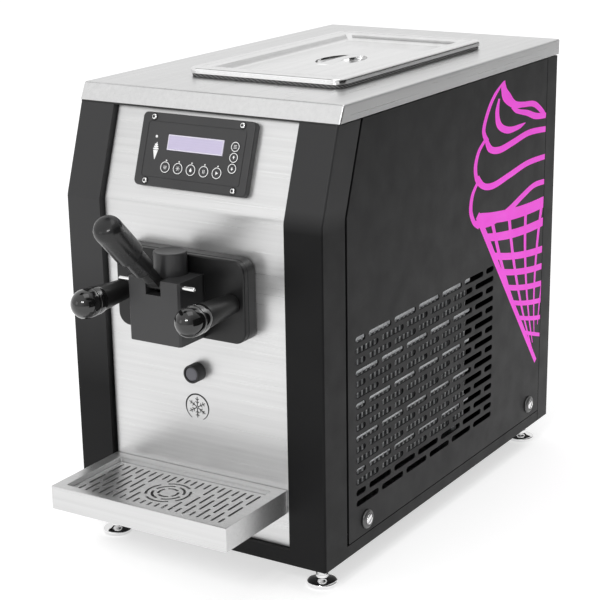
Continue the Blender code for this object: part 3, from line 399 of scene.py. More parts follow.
def finished(obj, mat, nodes, body, bevel, segs, angle, sharp):
    """Rounds the edges, sets the shading, the material and what the piece rides on."""
    if bevel:
        m = obj.modifiers.new("edges", "BEVEL")
        m.width, m.segments, m.limit_method, m.angle_limit = bevel / 1000.0, segs, "ANGLE", math.radians(angle)
        m.use_clamp_overlap = True
        m.miter_outer = "MITER_ARC"
        applied(obj)
    obj.data.materials.clear()
    obj.data.materials.append(mat)
    obj.data.shade_smooth()
    obj.data.set_sharp_from_angle(angle=math.radians(sharp))
    w = obj.modifiers.new("flats", "WEIGHTED_NORMAL")
    w.keep_sharp = True
    w.weight = 80
    applied(obj)
    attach(obj, body or BODY_OF[nodes[0]])
    if nodes:
        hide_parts(*nodes)
    return obj


def piece(name, shape, mat, nodes=(), body=None, add=(), cut=(), then_add=(), bevel=0.0, segs=2, angle=35, sharp=50, how=None):
    obj = raw(name, shape, how)
    for operation, shapes in (("UNION", add), ("DIFFERENCE", cut), ("UNION", then_add)):
        for other in shapes:
            tool = raw(name + "_tool", other, how)
            m = obj.modifiers.new("step", "BOOLEAN")
            m.operation, m.solver, m.object = operation, "EXACT", tool
            applied(obj)
            bpy.data.objects.remove(tool, do_unlink=True)
    return finished(obj, mat, tuple(nodes), body, bevel, segs, angle, sharp)


def softened(node, mat, bevel, segs=2, angle=30):
    """The CAD node's own shape with its edges rounded."""
    mesh = frame["nodes"][node].data.copy()
    bm = bmesh.new()
    bm.from_mesh(mesh)
    bmesh.ops.remove_doubles(bm, verts=bm.verts, dist=1e-6)
    bmesh.ops.dissolve_limit(bm, angle_limit=math.radians(1.0), verts=bm.verts, edges=bm.edges)
    bm.to_mesh(mesh)
    bm.free()
    obj = bpy.data.objects.new("looks_" + node, mesh)
    bpy.context.scene.collection.objects.link(obj)
    if mesh.attributes.get("custom_normal"):
        mesh.attributes.remove(mesh.attributes["custom_normal"])
    return finished(obj, mat, (node,), None, bevel, segs, angle, 50)


# ------------------------------------------------------------------ painted body
post = [(HALF - POST_W, 0.0)] + [(HALF - 2.2 + 2.2 * math.sin(math.radians(a)), 2.2 - 2.2 * math.cos(math.radians(a))) for a in range(0, 91, 15)]
post += [(HALF, FLANGE_D), (HALF - 8.0, FLANGE_D), (HALF - 8.0, FLANGE_D - SHEET), (HALF - SHEET, FLANGE_D - SHEET), (HALF - SHEET, SHEET),
         (HALF - POST_W + SHEET, SHEET), (HALF - POST_W + SHEET, 10.0), (HALF - POST_W, 10.0)]
post_right = leaning(post, 0.0, BODY_TOP)
sill = box(HALF - SHEET, HALF, FLANGE_D - 2.0, BODY_D - REAR_STRIP - 0.9, 0.0, SILL_H)
sill_foot = box(HALF - 12.0, HALF - 0.2, FLANGE_D - 2.0, BODY_D - REAR_STRIP - 0.9, 0.0, SHEET)
top_tab = box(HALF - 9.0, HALF - 1.8, front_y(BODY_TOP) + FLANGE_D - 2.6, front_y(BODY_TOP) + FLANGE_D - 1.1, BODY_TOP - 9.5, COVER_Z1 - COVER_T - GAP)
rail = prism("x", [(0.0, 0.0), (12.0, 0.0), (12.0, SHEET), (SHEET, SHEET), (SHEET, RAIL_H - SHEET), (10.0, RAIL_H - SHEET), (10.0, RAIL_H), (0.0, RAIL_H)],
             -(HALF - POST_W + 0.7), HALF - POST_W + 0.7)
# The frame's paint carries painted light and shade: a lighter left post and lighter slopes above the knee.
piece("frame_posts_and_sills", post_right, FRAME_PAINT_WITH_PAINTED_LIGHT, ["front_frame"], add=[rail, mirrored(post_right), sill, mirrored(sill), sill_foot, mirrored(sill_foot), top_tab, mirrored(top_tab)],
      bevel=0.45, segs=3)

side_y0, side_y1 = FLANGE_D + 3.6, BODY_D - REAR_STRIP - 0.9
side_outline = [(side_y0, SILL_H + 0.9), (side_y0, KNEE_Z), (front_y(BODY_TOP) + side_y0, BODY_TOP), (side_y1, BODY_TOP), (side_y1, SILL_H + 0.9)]
SCREWS = ((78.0, 27.0), (448.0, 28.5))


def vent_rows(rows):
    y0, y1, z0, pitch, high, web = 58.0, 350.0, 46.0, 11.0, 6.0, 6.6
    step, out = (y1 - y0 + web) / 6.0, []
    for row in range(rows):
        if row % 2 == 0:
            spans = [(y0 + k * step, y0 + (k + 1) * step - web) for k in range(6)]
        else:
            spans = [(y0, y0 + step / 2 - web)] + [(y0 + (k + 0.5) * step, y0 + (k + 1.5) * step - web) for k in range(5)] + [(y0 + 5.5 * step, y1)]
        out += [prism("x", slot_outline(a, b, z0 + row * pitch, high), HALF - 6.0, HALF + 4.0) for a, b in spans]
    return joined(*out)


def side(name, node, s, rows):
    flip = (lambda shape: shape) if s > 0 else mirrored
    hem = loft([[(x, front_y(z) + side_y0 + d, z) for x, d in ((HALF - 8.0, 0.0), (HALF - 0.2, 0.0), (HALF - 0.2, SHEET), (HALF - 8.0, SHEET))]
                for z in (24.0, KNEE_Z, BODY_TOP - 8.0)])
    piece(name, flip(prism("x", side_outline, HALF - SHEET, HALF)), PAINT, [node],
          add=[flip(hem), flip(box(HALF - 9.0, HALF - 0.2, 90.0, 460.0, BODY_TOP - SHEET - 2.0, BODY_TOP - 2.0))],
          cut=[flip(vent_rows(rows))] + [flip(cylinder("x", y, z, 3.0, HALF - 5.0, HALF + 5.0, 20)) for y, z in SCREWS], bevel=0.35, segs=2)
    word = "right" if s > 0 else "left"
    for tag, (y, z) in zip(("front", "rear"), SCREWS):
        cup = washer("x", y, z, 3.2, 9.0, HALF + GAP, HALF + 0.9)
        dish = loft([[at("x", a, u, w) for u, w in circle(y, z, r, 48)] for r, a in
                     ((3.2, HALF + GAP), (9.6, HALF + GAP), (9.6, HALF + 1.1), (9.2, HALF + 1.9), (8.2, HALF + 2.6), (7.0, HALF + 2.9), (6.1, HALF + 2.7), (5.6, HALF + 2.2), (3.2, HALF + 0.9))], ends=False)
        piece(f"looks_cup_washer_{word}_{tag}", flip(dish), NICKEL, [f"cup_washer_{word}_{tag}"])
        head = turned("x", y, z, [(2.6, HALF - 10.0), (2.6, HALF + 0.95), (2.9, HALF + 1.3), (5.1, HALF + 2.5), (5.3, HALF + 2.9), (5.0, HALF + 3.5), (4.0, HALF + 4.0), (2.0, HALF + 4.3), (0.3, HALF + 4.3)], 40)
        a = math.radians(35 if tag == "front" else 62)
        nick = [(y + u * math.cos(a) - w * math.sin(a), z + u * math.sin(a) + w * math.cos(a)) for u, w in ((-6, -0.85), (6, -0.85), (6, 0.85), (-6, 0.85))]
        piece(f"looks_panel_screw_{word}_{tag}", flip(head), CHROME, [f"panel_screw_{word}_{tag}"], cut=[flip(prism("x", nick, HALF + 2.4, HALF + 6.0))], bevel=0.12)


for s, word in ((1, "right"), (-1, "left")):
    # A matt black strip inside each seam gap between the frame's flange and the side panel: painted shadow of the gap.
    strip = leaning([(HALF - 6.0, FLANGE_D + 0.1), (HALF - 2.4, FLANGE_D + 0.1), (HALF - 2.4, side_y0 - 0.1), (HALF - 6.0, side_y0 - 0.1)], 13.0, BODY_TOP - 1.0)
    piece(f"seam_seal_{word}", strip if s > 0 else mirrored(strip), MATT_BLACK, body="machine")
side("looks_side_panel_right", "side_panel_right", 1, 16)
side("looks_side_panel_left", "side_panel_left", -1, 8)

rear = [(-HALF, BODY_D - REAR_STRIP), (-HALF + SHEET, BODY_D - REAR_STRIP), (-HALF + SHEET, BODY_D - SHEET), (HALF - SHEET, BODY_D - SHEET),
        (HALF - SHEET, BODY_D - REAR_STRIP), (HALF, BODY_D - REAR_STRIP), (HALF, BODY_D), (-HALF, BODY_D)]
back_slots = joined(*[prism("y", slot_outline(x0, x0 + 46.0, z, 6.0), BODY_D - 6.0, BODY_D + 4.0) for z in (150.0, 168.0, 186.0, 204.0, 222.0, 240.0) for x0 in (-106.0, -50.0, 6.0, 62.0)])
rear_tab = box(HALF - 9.0, HALF - 1.2, BODY_D - REAR_STRIP, BODY_D - REAR_STRIP + SHEET, BODY_TOP - 14.0, COVER_Z1 - COVER_T - GAP)
piece("looks_rear_panel", prism("z", rear, 0.0, BODY_TOP), PAINT, ["rear_panel"], add=[rear_tab, mirrored(rear_tab)],
      cut=[back_slots, box(-104.0, -44.0, BODY_D - 8.0, BODY_D + 4.0, 44.0, 74.0)], bevel=0.5, segs=3)
piece("rear_filter_foam", box(-112.0, 112.0, BODY_D - 3.8, BODY_D - SHEET - 0.2, 142.0, 254.0), RUBBER, body="machine", bevel=0.3)
softened("base_pan", PAINT, 0.25)
softened("power_inlet", GLOSS, 0.5, 3)
softened("switch_rocker", GLOSS, 0.8, 3)
for k, dx in enumerate((-7.0, 0.0, 7.0)):
    z0 = 61.0 if k == 1 else 56.5
    piece(f"inlet_pin_{k + 1}", box(-86.0 + dx - 1.0, -86.0 + dx + 1.0, BODY_D - 15.2, BODY_D - 3.0, z0 - 2.0, z0 + 2.0), CHROME, body="machine", bevel=0.3)
for k, (x, z) in enumerate(((-132.0, 30.0), (132.0, 30.0), (-132.0, 210.0), (132.0, 210.0), (-132.0, 392.0), (132.0, 392.0))):
    head = turned("y", x, z, [(4.0, BODY_D - 0.2), (4.0, BODY_D + 0.6), (3.6, BODY_D + 1.3), (2.4, BODY_D + 1.8), (0.3, BODY_D + 2.0)], 32)
    piece(f"rear_screw_{k + 1}", head, CHROME, body="machine",
          cut=[box(x - 2.4, x + 2.4, BODY_D + 1.0, BODY_D + 3.0, z - 0.5, z + 0.5), box(x - 0.5, x + 0.5, BODY_D + 1.0, BODY_D + 3.0, z - 2.4, z + 2.4)], bevel=0.1)

# ------------------------------------------------------------------ stainless front panel and cover
r = 1.6
panel = [(-PANEL_HALF, PANEL_SET + 9.0)] + [(-PANEL_HALF + r - r * math.cos(math.radians(a)), PANEL_SET + r - r * math.sin(math.radians(a))) for a in range(0, 91, 18)]
panel += [(PANEL_HALF - r + r * math.sin(math.radians(a)), PANEL_SET + r - r * math.cos(math.radians(a))) for a in range(0, 91, 18)]
panel += [(PANEL_HALF, PANEL_SET + 9.0), (PANEL_HALF - SHEET, PANEL_SET + 9.0), (PANEL_HALF - SHEET, PANEL_SET + SHEET), (-PANEL_HALF + SHEET, PANEL_SET + SHEET), (-PANEL_HALF + SHEET, PANEL_SET + 9.0)]
HOOK_X = (-58.0, 54.0)
piece("looks_front_panel", leaning(panel, RAIL_H + 0.6, BODY_TOP + 0.6), STEEL_X, ["front_panel"],
      cut=[cylinder("y", HEAD_X, AXIS_Z, 38.0, 0.0, 20.0, 48)] + [cylinder("y", HEAD_X + s * STUD_OFF, STUD_Z, 4.6, 0.0, 20.0, 24) for s in (-1, 1)]
      + [cylinder("y", 0.5, 176.0, 6.6, 0.0, 20.0, 32)] + [box(x - 4.6, x + 4.6, 0.0, 12.0, TRAY_Z[0] + 9.7, TRAY_Z[0] + 23.0) for x in HOOK_X], bevel=0.2, segs=2)

cx = HALF + COVER_OVER
cy1 = BODY_D + 1.8


def cover_loop(z, inset):
    """Outline of the cover at height z; the front flange leans back."""
    lean = 30.5 + (z - COVER_Z0) * 8.0 / (COVER_Z1 - COVER_Z0)
    return rect_loop((-cx, cx), (lean, cy1), 1.6, z, -inset, 5)


cover_loops = [cover_loop(COVER_Z0, 0.0), cover_loop(COVER_Z1 - 1.8, 0.0)] + [cover_loop(COVER_Z1 - 1.8 + 1.8 * math.sin(math.radians(a)), 1.8 * (1 - math.cos(math.radians(a)))) for a in (18, 36, 54, 72, 90)]
ci = cx - COVER_T
inside = loft([[(-ci, 31.2, COVER_Z0 - 2.0), (ci, 31.2, COVER_Z0 - 2.0), (ci, BODY_D + 0.6, COVER_Z0 - 2.0), (-ci, BODY_D + 0.6, COVER_Z0 - 2.0)],
               [(-ci + 0.8, 40.4, COVER_Z1 - COVER_T), (ci - 0.8, 40.4, COVER_Z1 - COVER_T), (ci - 0.8, BODY_D - 0.2, COVER_Z1 - COVER_T), (-ci + 0.8, BODY_D - 0.2, COVER_Z1 - COVER_T)]])
piece("looks_top_cover", loft(cover_loops), STEEL_Y, ["top_cover"],
      cut=[inside, prism("z", rounded(PAN_X[0] - 0.5, PAN_X[1] + 0.5, PAN_Y[0] - 0.5, PAN_Y[1] + 0.5, 12.5), COVER_Z1 - 8.0, COVER_Z1 + 4.0)], sharp=42)

# A matt black strip under the cover's front lip along the whole width: painted shadow of the recess beneath the lip.
piece("cover_painted_shadow_strip", box(-HALF + 0.4, HALF - 0.4, 30.2, 36.4, 419.5, 421.0), MATT_BLACK, body="machine", bevel=0.15)

# ------------------------------------------------------------------ hopper, lid, gasket, feed tube
rim_z = COVER_Z1 + GAP
pan_loops = [rect_loop(PAN_X, PAN_Y, 14, PAN_FLOOR + 1.2, -16.0)]
pan_loops += [rect_loop(PAN_X, PAN_Y, 14, PAN_FLOOR + 1.2 + 9.0 * (1 - math.cos(math.radians(a))), -16.0 + 8.4 * math.sin(math.radians(a))) for a in (20, 40, 60, 75, 88)]
pan_loops += [rect_loop(PAN_X, PAN_Y, 14, rim_z - 2.0, -1.3), rect_loop(PAN_X, PAN_Y, 13, rim_z + 0.4, -0.7), rect_loop(PAN_X, PAN_Y, 13, rim_z + 1.0, 0.6),
              rect_loop((-70.0, 100.0), (107.0, 399.0), 15, rim_z + 1.0, -0.3), rect_loop((-70.0, 100.0), (107.0, 399.0), 15, rim_z + 0.7), rect_loop((-70.0, 100.0), (107.0, 399.0), 15, rim_z),
              rect_loop(PAN_X, PAN_Y, 13, rim_z, 0.2), rect_loop(PAN_X, PAN_Y, 13, rim_z - 2.5, -0.3), rect_loop(PAN_X, PAN_Y, 13, PAN_FLOOR + 10.0, -6.8), rect_loop(PAN_X, PAN_Y, 13, PAN_FLOOR + 3.0, -9.0), rect_loop(PAN_X, PAN_Y, 13, PAN_FLOOR, -15.0)]
piece("looks_hopper", loft(pan_loops), POLISHED, ["hopper"], add=[cylinder("z", FEED[0], FEED[1], 12.0, 302.5, PAN_FLOOR + 0.6, 40)],
      cut=[cylinder("z", FEED[0], FEED[1], 9.2, 295.0, PAN_FLOOR + 8.0, 40)], sharp=40)
piece("looks_feed_tube", turned("z", FEED[0], FEED[1], [(8.0, 308.0), (8.8, 308.9), (8.8, 346.4), (12.4, 347.4), (13.0, 348.0), (13.0, 350.2), (12.4, 350.8), (8.8, 351.8), (8.8, 427.2), (8.0, 428.0)], 48),
      FOOD_WHITE, ["feed_tube"], cut=[cylinder("z", FEED[0], FEED[1], 6.4, 300.0, 440.0, 40), box(FEED[0] - 20, FEED[0] + 20, FEED[1] - 1.5, FEED[1] + 1.5, 300.0, 316.0)], bevel=0.2)

lid_z0, lid_z1 = 441.1, 446.6
dish_c = (15.0, 253.0)
floor_z = lid_z1 - 7.0


def lid_loop(z, grow, r=11.0):
    return rect_loop(LID_X, LID_Y, r, z, grow, 10)


lid_outer = [lid_loop(floor_z, -26.0, 30.0), lid_loop(floor_z + 0.1, -24.2, 29.0), lid_loop(floor_z + 0.9, -22.6, 27.5), lid_loop(floor_z + 3.0, -20.6, 25.5),
             lid_loop(lid_z1 - 1.9, -18.0, 24.0), lid_loop(lid_z1 - 0.7, -16.9, 23.0), lid_loop(lid_z1 - 0.1, -15.6, 22.0), lid_loop(lid_z1 - 0.1, -12.0), lid_loop(lid_z1 - 0.5, -10.6), lid_loop(lid_z1 - 0.5, -9.4), lid_loop(lid_z1, -8.0),
             lid_loop(lid_z1, -2.6), lid_loop(lid_z1 - 0.3, -1.2), lid_loop(lid_z1 - 0.9, -0.4), lid_loop(lid_z1 - 1.8, 0.0), lid_loop(lid_z0, 0.0), lid_loop(lid_z0, -1.0),
             lid_loop(lid_z1 - 1.9, -1.2), lid_loop(lid_z1 - 1.1, -2.8), lid_loop(lid_z1 - 1.1, -16.3), lid_loop(floor_z + 1.0, -21.5, 25.0), lid_loop(floor_z - 1.0, -25.0, 29.0)]


def bowl(rx, ry, top, depth, n=64, rows=9, lip=2.5):
    loops = [[(dish_c[0] + rx * math.cos(2 * math.pi * i / n), dish_c[1] + ry * math.sin(2 * math.pi * i / n), top + lip) for i in range(n)]]
    for k in range(rows + 1):
        a = math.pi / 2 * k / rows * 0.97
        loops.append([(dish_c[0] + rx * math.cos(a) * math.cos(2 * math.pi * i / n), dish_c[1] + ry * math.cos(a) * math.sin(2 * math.pi * i / n), top - depth * math.sin(a)) for i in range(n)])
    return loft(loops)


bar = []
for k in range(25):
    t = -1 + 2 * k / 24
    half = 5.2 + 4.6 * abs(t) ** 2.2
    zc = floor_z - 0.55 + 1.5 * (1 - t * t)
    y = dish_c[1] + 36.4 * t
    bar.append([(dish_c[0] + half * math.cos(a) * (1 if abs(math.cos(a)) > 0 else 1), y, zc + 0.9 * math.sin(a)) for a in [2 * math.pi * i / 16 for i in range(16)]])
piece("looks_hopper_lid", loft(lid_outer), POLISHED, ["hopper_lid"],
      add=[moved(bowl(24.0, 36.0, floor_z - 0.5, 13.0, 64, 9, 0.0), lambda p: (p[0], p[1], min(p[2], floor_z - 0.35)))],
      cut=[bowl(22.8, 34.8, floor_z, 12.0)], then_add=[loft(bar)], sharp=40)
gx_, gy_ = (-70.0, 100.0), (107.0, 399.0)
gasket_path = rounded(gx_[0], gx_[1], gy_[0], gy_[1], 11.0, 6)
dense = []
for i, (px, py) in enumerate(gasket_path):
    qx, qy = gasket_path[(i + 1) % len(gasket_path)]
    steps = max(1, int(math.hypot(qx - px, qy - py) / 1.6))
    dense += [(px + (qx - px) * t / steps, py + (qy - py) * t / steps) for t in range(steps)]
mx, my = (gx_[0] + gx_[1]) / 2, (gy_[0] + gy_[1]) / 2


def gasket_loop(z, grow, ripple=0.0):
    """Loop round the lid at height z; the ribs run on the slant up the side."""
    out = []
    for i, (x, y) in enumerate(dense):
        g = grow + ripple * math.sin(2 * math.pi * (i / 5.0 + (z - rim_z) * 0.25))
        nx = 1.0 if x >= gx_[1] - 0.1 else -1.0 if x <= gx_[0] + 0.1 else (x - mx) / abs(x - mx or 1.0) * (0.7 if y > gy_[1] - 10.9 or y < gy_[0] + 10.9 else 0.0) if abs(x - mx) > gx_[1] - mx - 11.0 else 0.0
        ny = 1.0 if y >= gy_[1] - 0.1 else -1.0 if y <= gy_[0] + 0.1 else (y - my) / abs(y - my or 1.0) * (0.7 if x > gx_[1] - 10.9 or x < gx_[0] + 10.9 else 0.0) if abs(y - my) > gy_[1] - my - 11.0 else 0.0
        out.append((x + nx * g, y + ny * g, z))
    return out


gasket = loft([gasket_loop(rim_z + 1.2, 0.3), gasket_loop(rim_z + 1.2, 0.6), gasket_loop(rim_z, 0.8), gasket_loop(rim_z, 1.5), gasket_loop(rim_z + 0.7, 1.55, 0.35), gasket_loop(rim_z + 1.4, 1.55, 0.35),
               gasket_loop(rim_z + 2.1, 1.55, 0.35), gasket_loop(lid_z0 - 0.4, 1.5, 0.2), gasket_loop(lid_z0 - 0.3, 0.5)], ends=False)
# The gasket's colour bands are painted highlights and shade.
piece("looks_lid_gasket", gasket, GASKET_PAINTED_RIB_SHADING, ["lid_gasket"], sharp=75)

# ------------------------------------------------------------------ control plate
PL_W, PL_H, PL_T = 126.0, 69.0, 7.0
FACE = -(GAP + PL_T)
row_keys = [(-29.1 + 14.55 * k, -15.7, 5.4) for k in range(5)]
side_keys = [(45.0, z, 4.7) for z in (10.1, 0.1, -9.9)]
plate_screws = [(sx * 49.6, sz * 30.0) for sx in (-1, 1) for sz in (-1, 1)]


def outline_at(y, inset, n=8):
    return [(x, y, z) for x, z in rounded(-PL_W / 2 + inset, PL_W / 2 - inset, -PL_H / 2 + inset, PL_H / 2 - inset, max(5.0 - inset, 0.8), n)]


plate = loft([outline_at(-GAP, 0.3), outline_at(-GAP - 0.3, 0.0), outline_at(FACE + 1.4, 0.0)] + [outline_at(FACE + 1.4 * (1 - math.sin(math.radians(a))), 1.4 * (1 - math.cos(math.radians(a)))) for a in (22, 45, 67, 90)])
groove = loft([[(x, y, z) for x, z in rounded(-g - 55.0, g + 55.0, -g - 26.0, g + 26.0, 3.0 + g, 6)] for y, g in ((FACE - 1.0, -0.3), (FACE - 1.0, 0.3), (FACE + 0.45, 0.3), (FACE + 0.45, -0.3))], ends=False)
piece("looks_control_plate", plate, PLATE, ["control_plate"], how=on_slope, sharp=40,
      cut=[groove] + [cylinder("y", x, z, r + 0.35, FACE - 2.0, 3.0, 40) for x, z, r in row_keys + side_keys] + [cylinder("y", x, z, 1.8, FACE - 2.0, 3.0, 24) for x, z in plate_screws]
      + [box(-31.1, 32.3, FACE - 2.0, FACE + 2.4, 0.0, 15.5)])
piece("plate_overlay_edge", loft([[(x, y, z) for x, z in rounded(-g - 55.0, g + 55.0, -g - 26.0, g + 26.0, 3.0 + g, 6)] for y, g in ((FACE - 0.05, -0.75), (FACE - 0.05, -0.45), (FACE + 0.02, -0.45), (FACE + 0.02, -0.75))], ends=False),
      KEYCAP, body="machine", how=on_slope)
screen = box(-30.8, 32.0, FACE + 0.1, FACE + 2.1, 0.3, 15.2)
piece("looks_display_window", screen, DISPLAY, ["display_window"], how=on_slope, bevel=0.35, segs=3)
bezel = loft([[(x, y, z) for x, z in ((-30.8 + g, 0.3 + g), (32.0 - g, 0.3 + g), (32.0 - g, 15.2 - g), (-30.8 + g, 15.2 - g))] for y, g in ((FACE + 0.2, 0.15), (FACE - 0.25, 0.35), (FACE - 0.25, 1.0), (FACE + 0.2, 1.35))], ends=False)
piece("display_bezel", bezel, make_plain("looks_display_edge", (0.66, 0.64, 0.72), (0.76, 0.74, 0.82), (0.20, 0.34), bump=0.03), body="machine", how=on_slope)


def flat(outline, y0, y1):
    return prism("y", outline, y0, y1)


def strokes(parts, y0, y1):
    """Thin raised print: each entry is a polygon in (x, z)."""
    return joined(*[flat(p, y0, y1) for p in parts])


def bar_at(x, z, length, wide, turn=0.0):
    c, s = math.cos(turn), math.sin(turn)
    return [(x + u * c - w * s, z + u * s + w * c) for u, w in ((-length / 2, -wide / 2), (length / 2, -wide / 2), (length / 2, wide / 2), (-length / 2, wide / 2))]


def arrow(x, z, s):
    return [[(x - 1.7, z), (x + 1.7, z), (x, z + 2.2 * s)], [(x - 0.6, z), (x - 0.6, z - 1.6 * s), (x + 0.6, z - 1.6 * s), (x + 0.6, z)]]


icons = [
    [bar_at(0, 1.1, 4.4, 0.55), bar_at(0, -0.4, 4.4, 0.55), bar_at(0, -1.9, 3.0, 0.55)],
    [bar_at(0, 0, 5.4, 0.5, math.radians(a)) for a in (0, 60, 120)],
    [[(0.0, 2.6)] + [(1.6 * math.cos(math.radians(a)), -0.7 + 1.6 * math.sin(math.radians(a))) for a in range(20, -201, -20)]],
    [bar_at(-0.9, 0, 4.0, 0.7, math.pi / 2), bar_at(0.9, 0, 4.0, 0.7, math.pi / 2)],
    [[(-1.4, -2.0), (2.2, 0.0), (-1.4, 2.0)]],
    [bar_at(0, -1.5, 4.0, 0.55), bar_at(0, 0.0, 4.0, 0.55), bar_at(0, 1.5, 4.0, 0.55)],
    arrow(0, 0.2, 1), arrow(0, -0.2, -1)]
for k, (x, z, r) in enumerate(row_keys + side_keys):
    node = f"key_row_{k + 1}" if k < 5 else f"key_side_{k - 4}"
    cap = turned("y", x, z, [(0.3, FACE - 0.50), (r - 1.6, FACE - 0.50), (r - 0.55, FACE - 0.42), (r - 0.15, FACE - 0.2), (r, FACE + 0.2), (r, FACE + 4.4)], 40)
    piece("looks_" + node, cap, KEYCAP, [node], how=on_slope, sharp=60)
    piece(node + "_ring", washer("y", x, z, r - 0.85, r - 0.18, FACE - 0.58, FACE - 0.30, 40), PRINT_WHITE, body=node, how=on_slope)
    mark = [[(x + u * 0.82, z + w * 0.82) for u, w in poly] for poly in icons[k]]
    piece(node + "_mark", strokes(mark, FACE - 0.56, FACE - 0.45), PRINT_WHITE, body=node, how=on_slope)
    if k < 5:
        piece(node + "_lamp", turned("y", x + 0.3, z + r + 1.0, [(0.2, FACE - 0.5), (0.55, FACE - 0.42), (0.8, FACE - 0.15), (0.8, FACE + 0.1)], 20), PRINT_WHITE, body="machine", how=on_slope)
piece("status_lamp", turned("y", -44.0, 12.0, [(0.2, FACE - 0.7), (0.9, FACE - 0.55), (1.35, FACE - 0.15), (1.35, FACE + 0.1)], 24), PRINT_WHITE, body="machine", how=on_slope)
ix, iz = -43.0, -1.4
cone_icon = [[(ix - 2.7, iz + 0.6), (ix + 2.7, iz + 0.6), (ix + 0.25, iz - 8.2), (ix - 0.25, iz - 8.2)]]
for w, h in ((3.3, 1.9), (2.6, 3.9), (1.8, 5.8)):
    cone_icon.append([(ix + w * math.cos(math.radians(a)), iz + h + 0.95 * math.sin(math.radians(a))) for a in range(0, 360, 20)])
cone_icon.append([(ix - 0.9, iz + 6.4), (ix + 0.9, iz + 6.4), (ix + 0.9, iz + 8.4)])
piece("cone_symbol", strokes(cone_icon, FACE - 0.08, FACE + 0.02), PRINT_WHITE, body="machine", how=on_slope)
for k, (x, z) in enumerate(plate_screws):
    button = turned("y", x, z, [(1.3, FACE - 1.9), (2.0, FACE - 1.8), (2.55, FACE - 1.3), (2.75, FACE - 0.6), (2.75, FACE - GAP), (1.5, FACE - GAP + 0.02), (1.5, -GAP - 0.5)], 32)
    piece(f"looks_plate_screw_{k + 1}", button, CHROME, [f"plate_screw_{k + 1}"], cut=[flat(circle(x, z, 1.45, 6), FACE - 3.0, FACE - 0.9)], how=on_slope, sharp=40)
    # A dark hex at the bottom of each screw's socket is painted shade of the recess, and a dark ring round each head is
    # painted shade of the crevice.
    piece(f"plate_screw_socket_{k + 1}", flat(circle(x, z, 1.35, 6), FACE - 1.25, FACE - 0.85), DARK_PRINT_AND_PAINTED_SHADE, body="machine", how=on_slope)
    piece(f"plate_screw_ring_{k + 1}", washer("y", x, z, 2.8, 3.7, FACE - 0.06, FACE + 0.1, 32), DARK_PRINT_AND_PAINTED_SHADE, body="machine", how=on_slope)

# ------------------------------------------------------------------ dispensing head
head_rim = rounded(HEAD_X - HEAD_HALF_W, HEAD_X + HEAD_HALF_W, HEAD_Z[0], HEAD_Z[1], 12.0, 12)


def head_loop(y, inset):
    return [(x, y, z) for x, z in rounded(HEAD_X - HEAD_HALF_W + inset, HEAD_X + HEAD_HALF_W - inset, HEAD_Z[0] + inset, HEAD_Z[1] - inset, 12.0 - inset, 12)]


flange = loft([head_loop(HEAD_REAR, 1.0), head_loop(HEAD_REAR - 1.0, 0.0), head_loop(-6.5, 0.0), head_loop(-6.9, 0.7), head_loop(-7.6, 0.7), head_loop(-8.0, 0.0), head_loop(HEAD_FRONT + 1.8, 0.0)]
              + [head_loop(HEAD_FRONT + 1.8 * (1 - math.sin(math.radians(a))), 1.8 * (1 - math.cos(math.radians(a)))) for a in (22, 45, 67, 90)])
b0, b1 = HEAD_X - BLOCK_HALF, HEAD_X + BLOCK_HALF
block = prism("z", [(b0, HEAD_FRONT + 3.0), (b0, BLOCK_FRONT + 2.0), (b0 + 2.0, BLOCK_FRONT), (b1 - 2.0, BLOCK_FRONT), (b1, BLOCK_FRONT + 2.0), (b1, HEAD_FRONT + 3.0)], BLOCK_Z[0], BLOCK_Z[1])
# The flange behind the block is painted near black: painted shadow.
piece("looks_dispensing_head", flange, HEAD_ACETAL_PAINTED_SHADE, ["dispensing_head"], add=[block],
      cut=[cylinder("z", HEAD_X, PLUNGER_Y, PLUNGER_R + 0.5, 228.6, 300.0, 48), cylinder("z", HEAD_X, PLUNGER_Y, 7.0, 210.0, 232.0, 32), cylinder("y", HEAD_X, 236.0, 5.0, PLUNGER_Y, 12.0, 24),
           box(HEAD_X - 8.4, HEAD_X + 8.4, BLOCK_FRONT - 4.0, PLUNGER_Y - 11.0, 266.0, 290.0), cylinder("x", PIVOT_Y, PIVOT_Z, 2.3, HEAD_X - 40.0, HEAD_X + 40.0, 24)]
      + [cylinder("y", HEAD_X + s * STUD_OFF, STUD_Z, 4.5, -30.0, 12.0, 24) for s in (-1, 1)], bevel=0.8, segs=3, angle=42, sharp=42)
star = []
for i in range(6):
    a = 2 * math.pi * i / 6
    star += [(HEAD_X + 6.6 * math.cos(a), PLUNGER_Y + 6.6 * math.sin(a)), (HEAD_X + 4.6 * math.cos(a + math.pi / 6), PLUNGER_Y + 4.6 * math.sin(a + math.pi / 6))]
piece("outlet_star", loft([[(x, y, 219.4) for x, y in circle(HEAD_X, PLUNGER_Y, 8.6, 12)], [(x, y, 220.2) for x, y in circle(HEAD_X, PLUNGER_Y, 8.6, 12)], [(x, y, 220.2) for x, y in star], [(x, y, 219.4) for x, y in star]], ends=False),
      ACETAL, body="machine")
softened("head_seal", RUBBER, 0.3)
piece("looks_draw_plunger", turned("z", HEAD_X, PLUNGER_Y, [(PLUNGER_R - 1.5, 229.0), (PLUNGER_R, 231.0), (PLUNGER_R, 245.0), (PLUNGER_R - 1.2, 245.6), (PLUNGER_R - 1.2, 248.4), (PLUNGER_R, 249.0), (PLUNGER_R, 300.2),
      (PLUNGER_R - 0.3, 301.2), (PLUNGER_R - 1.0, 301.6), (PLUNGER_R - 2.0, 301.6), (PLUNGER_R - 3.2, 301.0), (PLUNGER_R - 8.0, 300.3), (0.3, 300.1)], 64), ACETAL, ["draw_plunger"],
      cut=[box(HEAD_X - 6.5, HEAD_X + 6.5, PLUNGER_Y - 20.0, PLUNGER_Y - 1.0, 262.6, 277.4)], sharp=40)
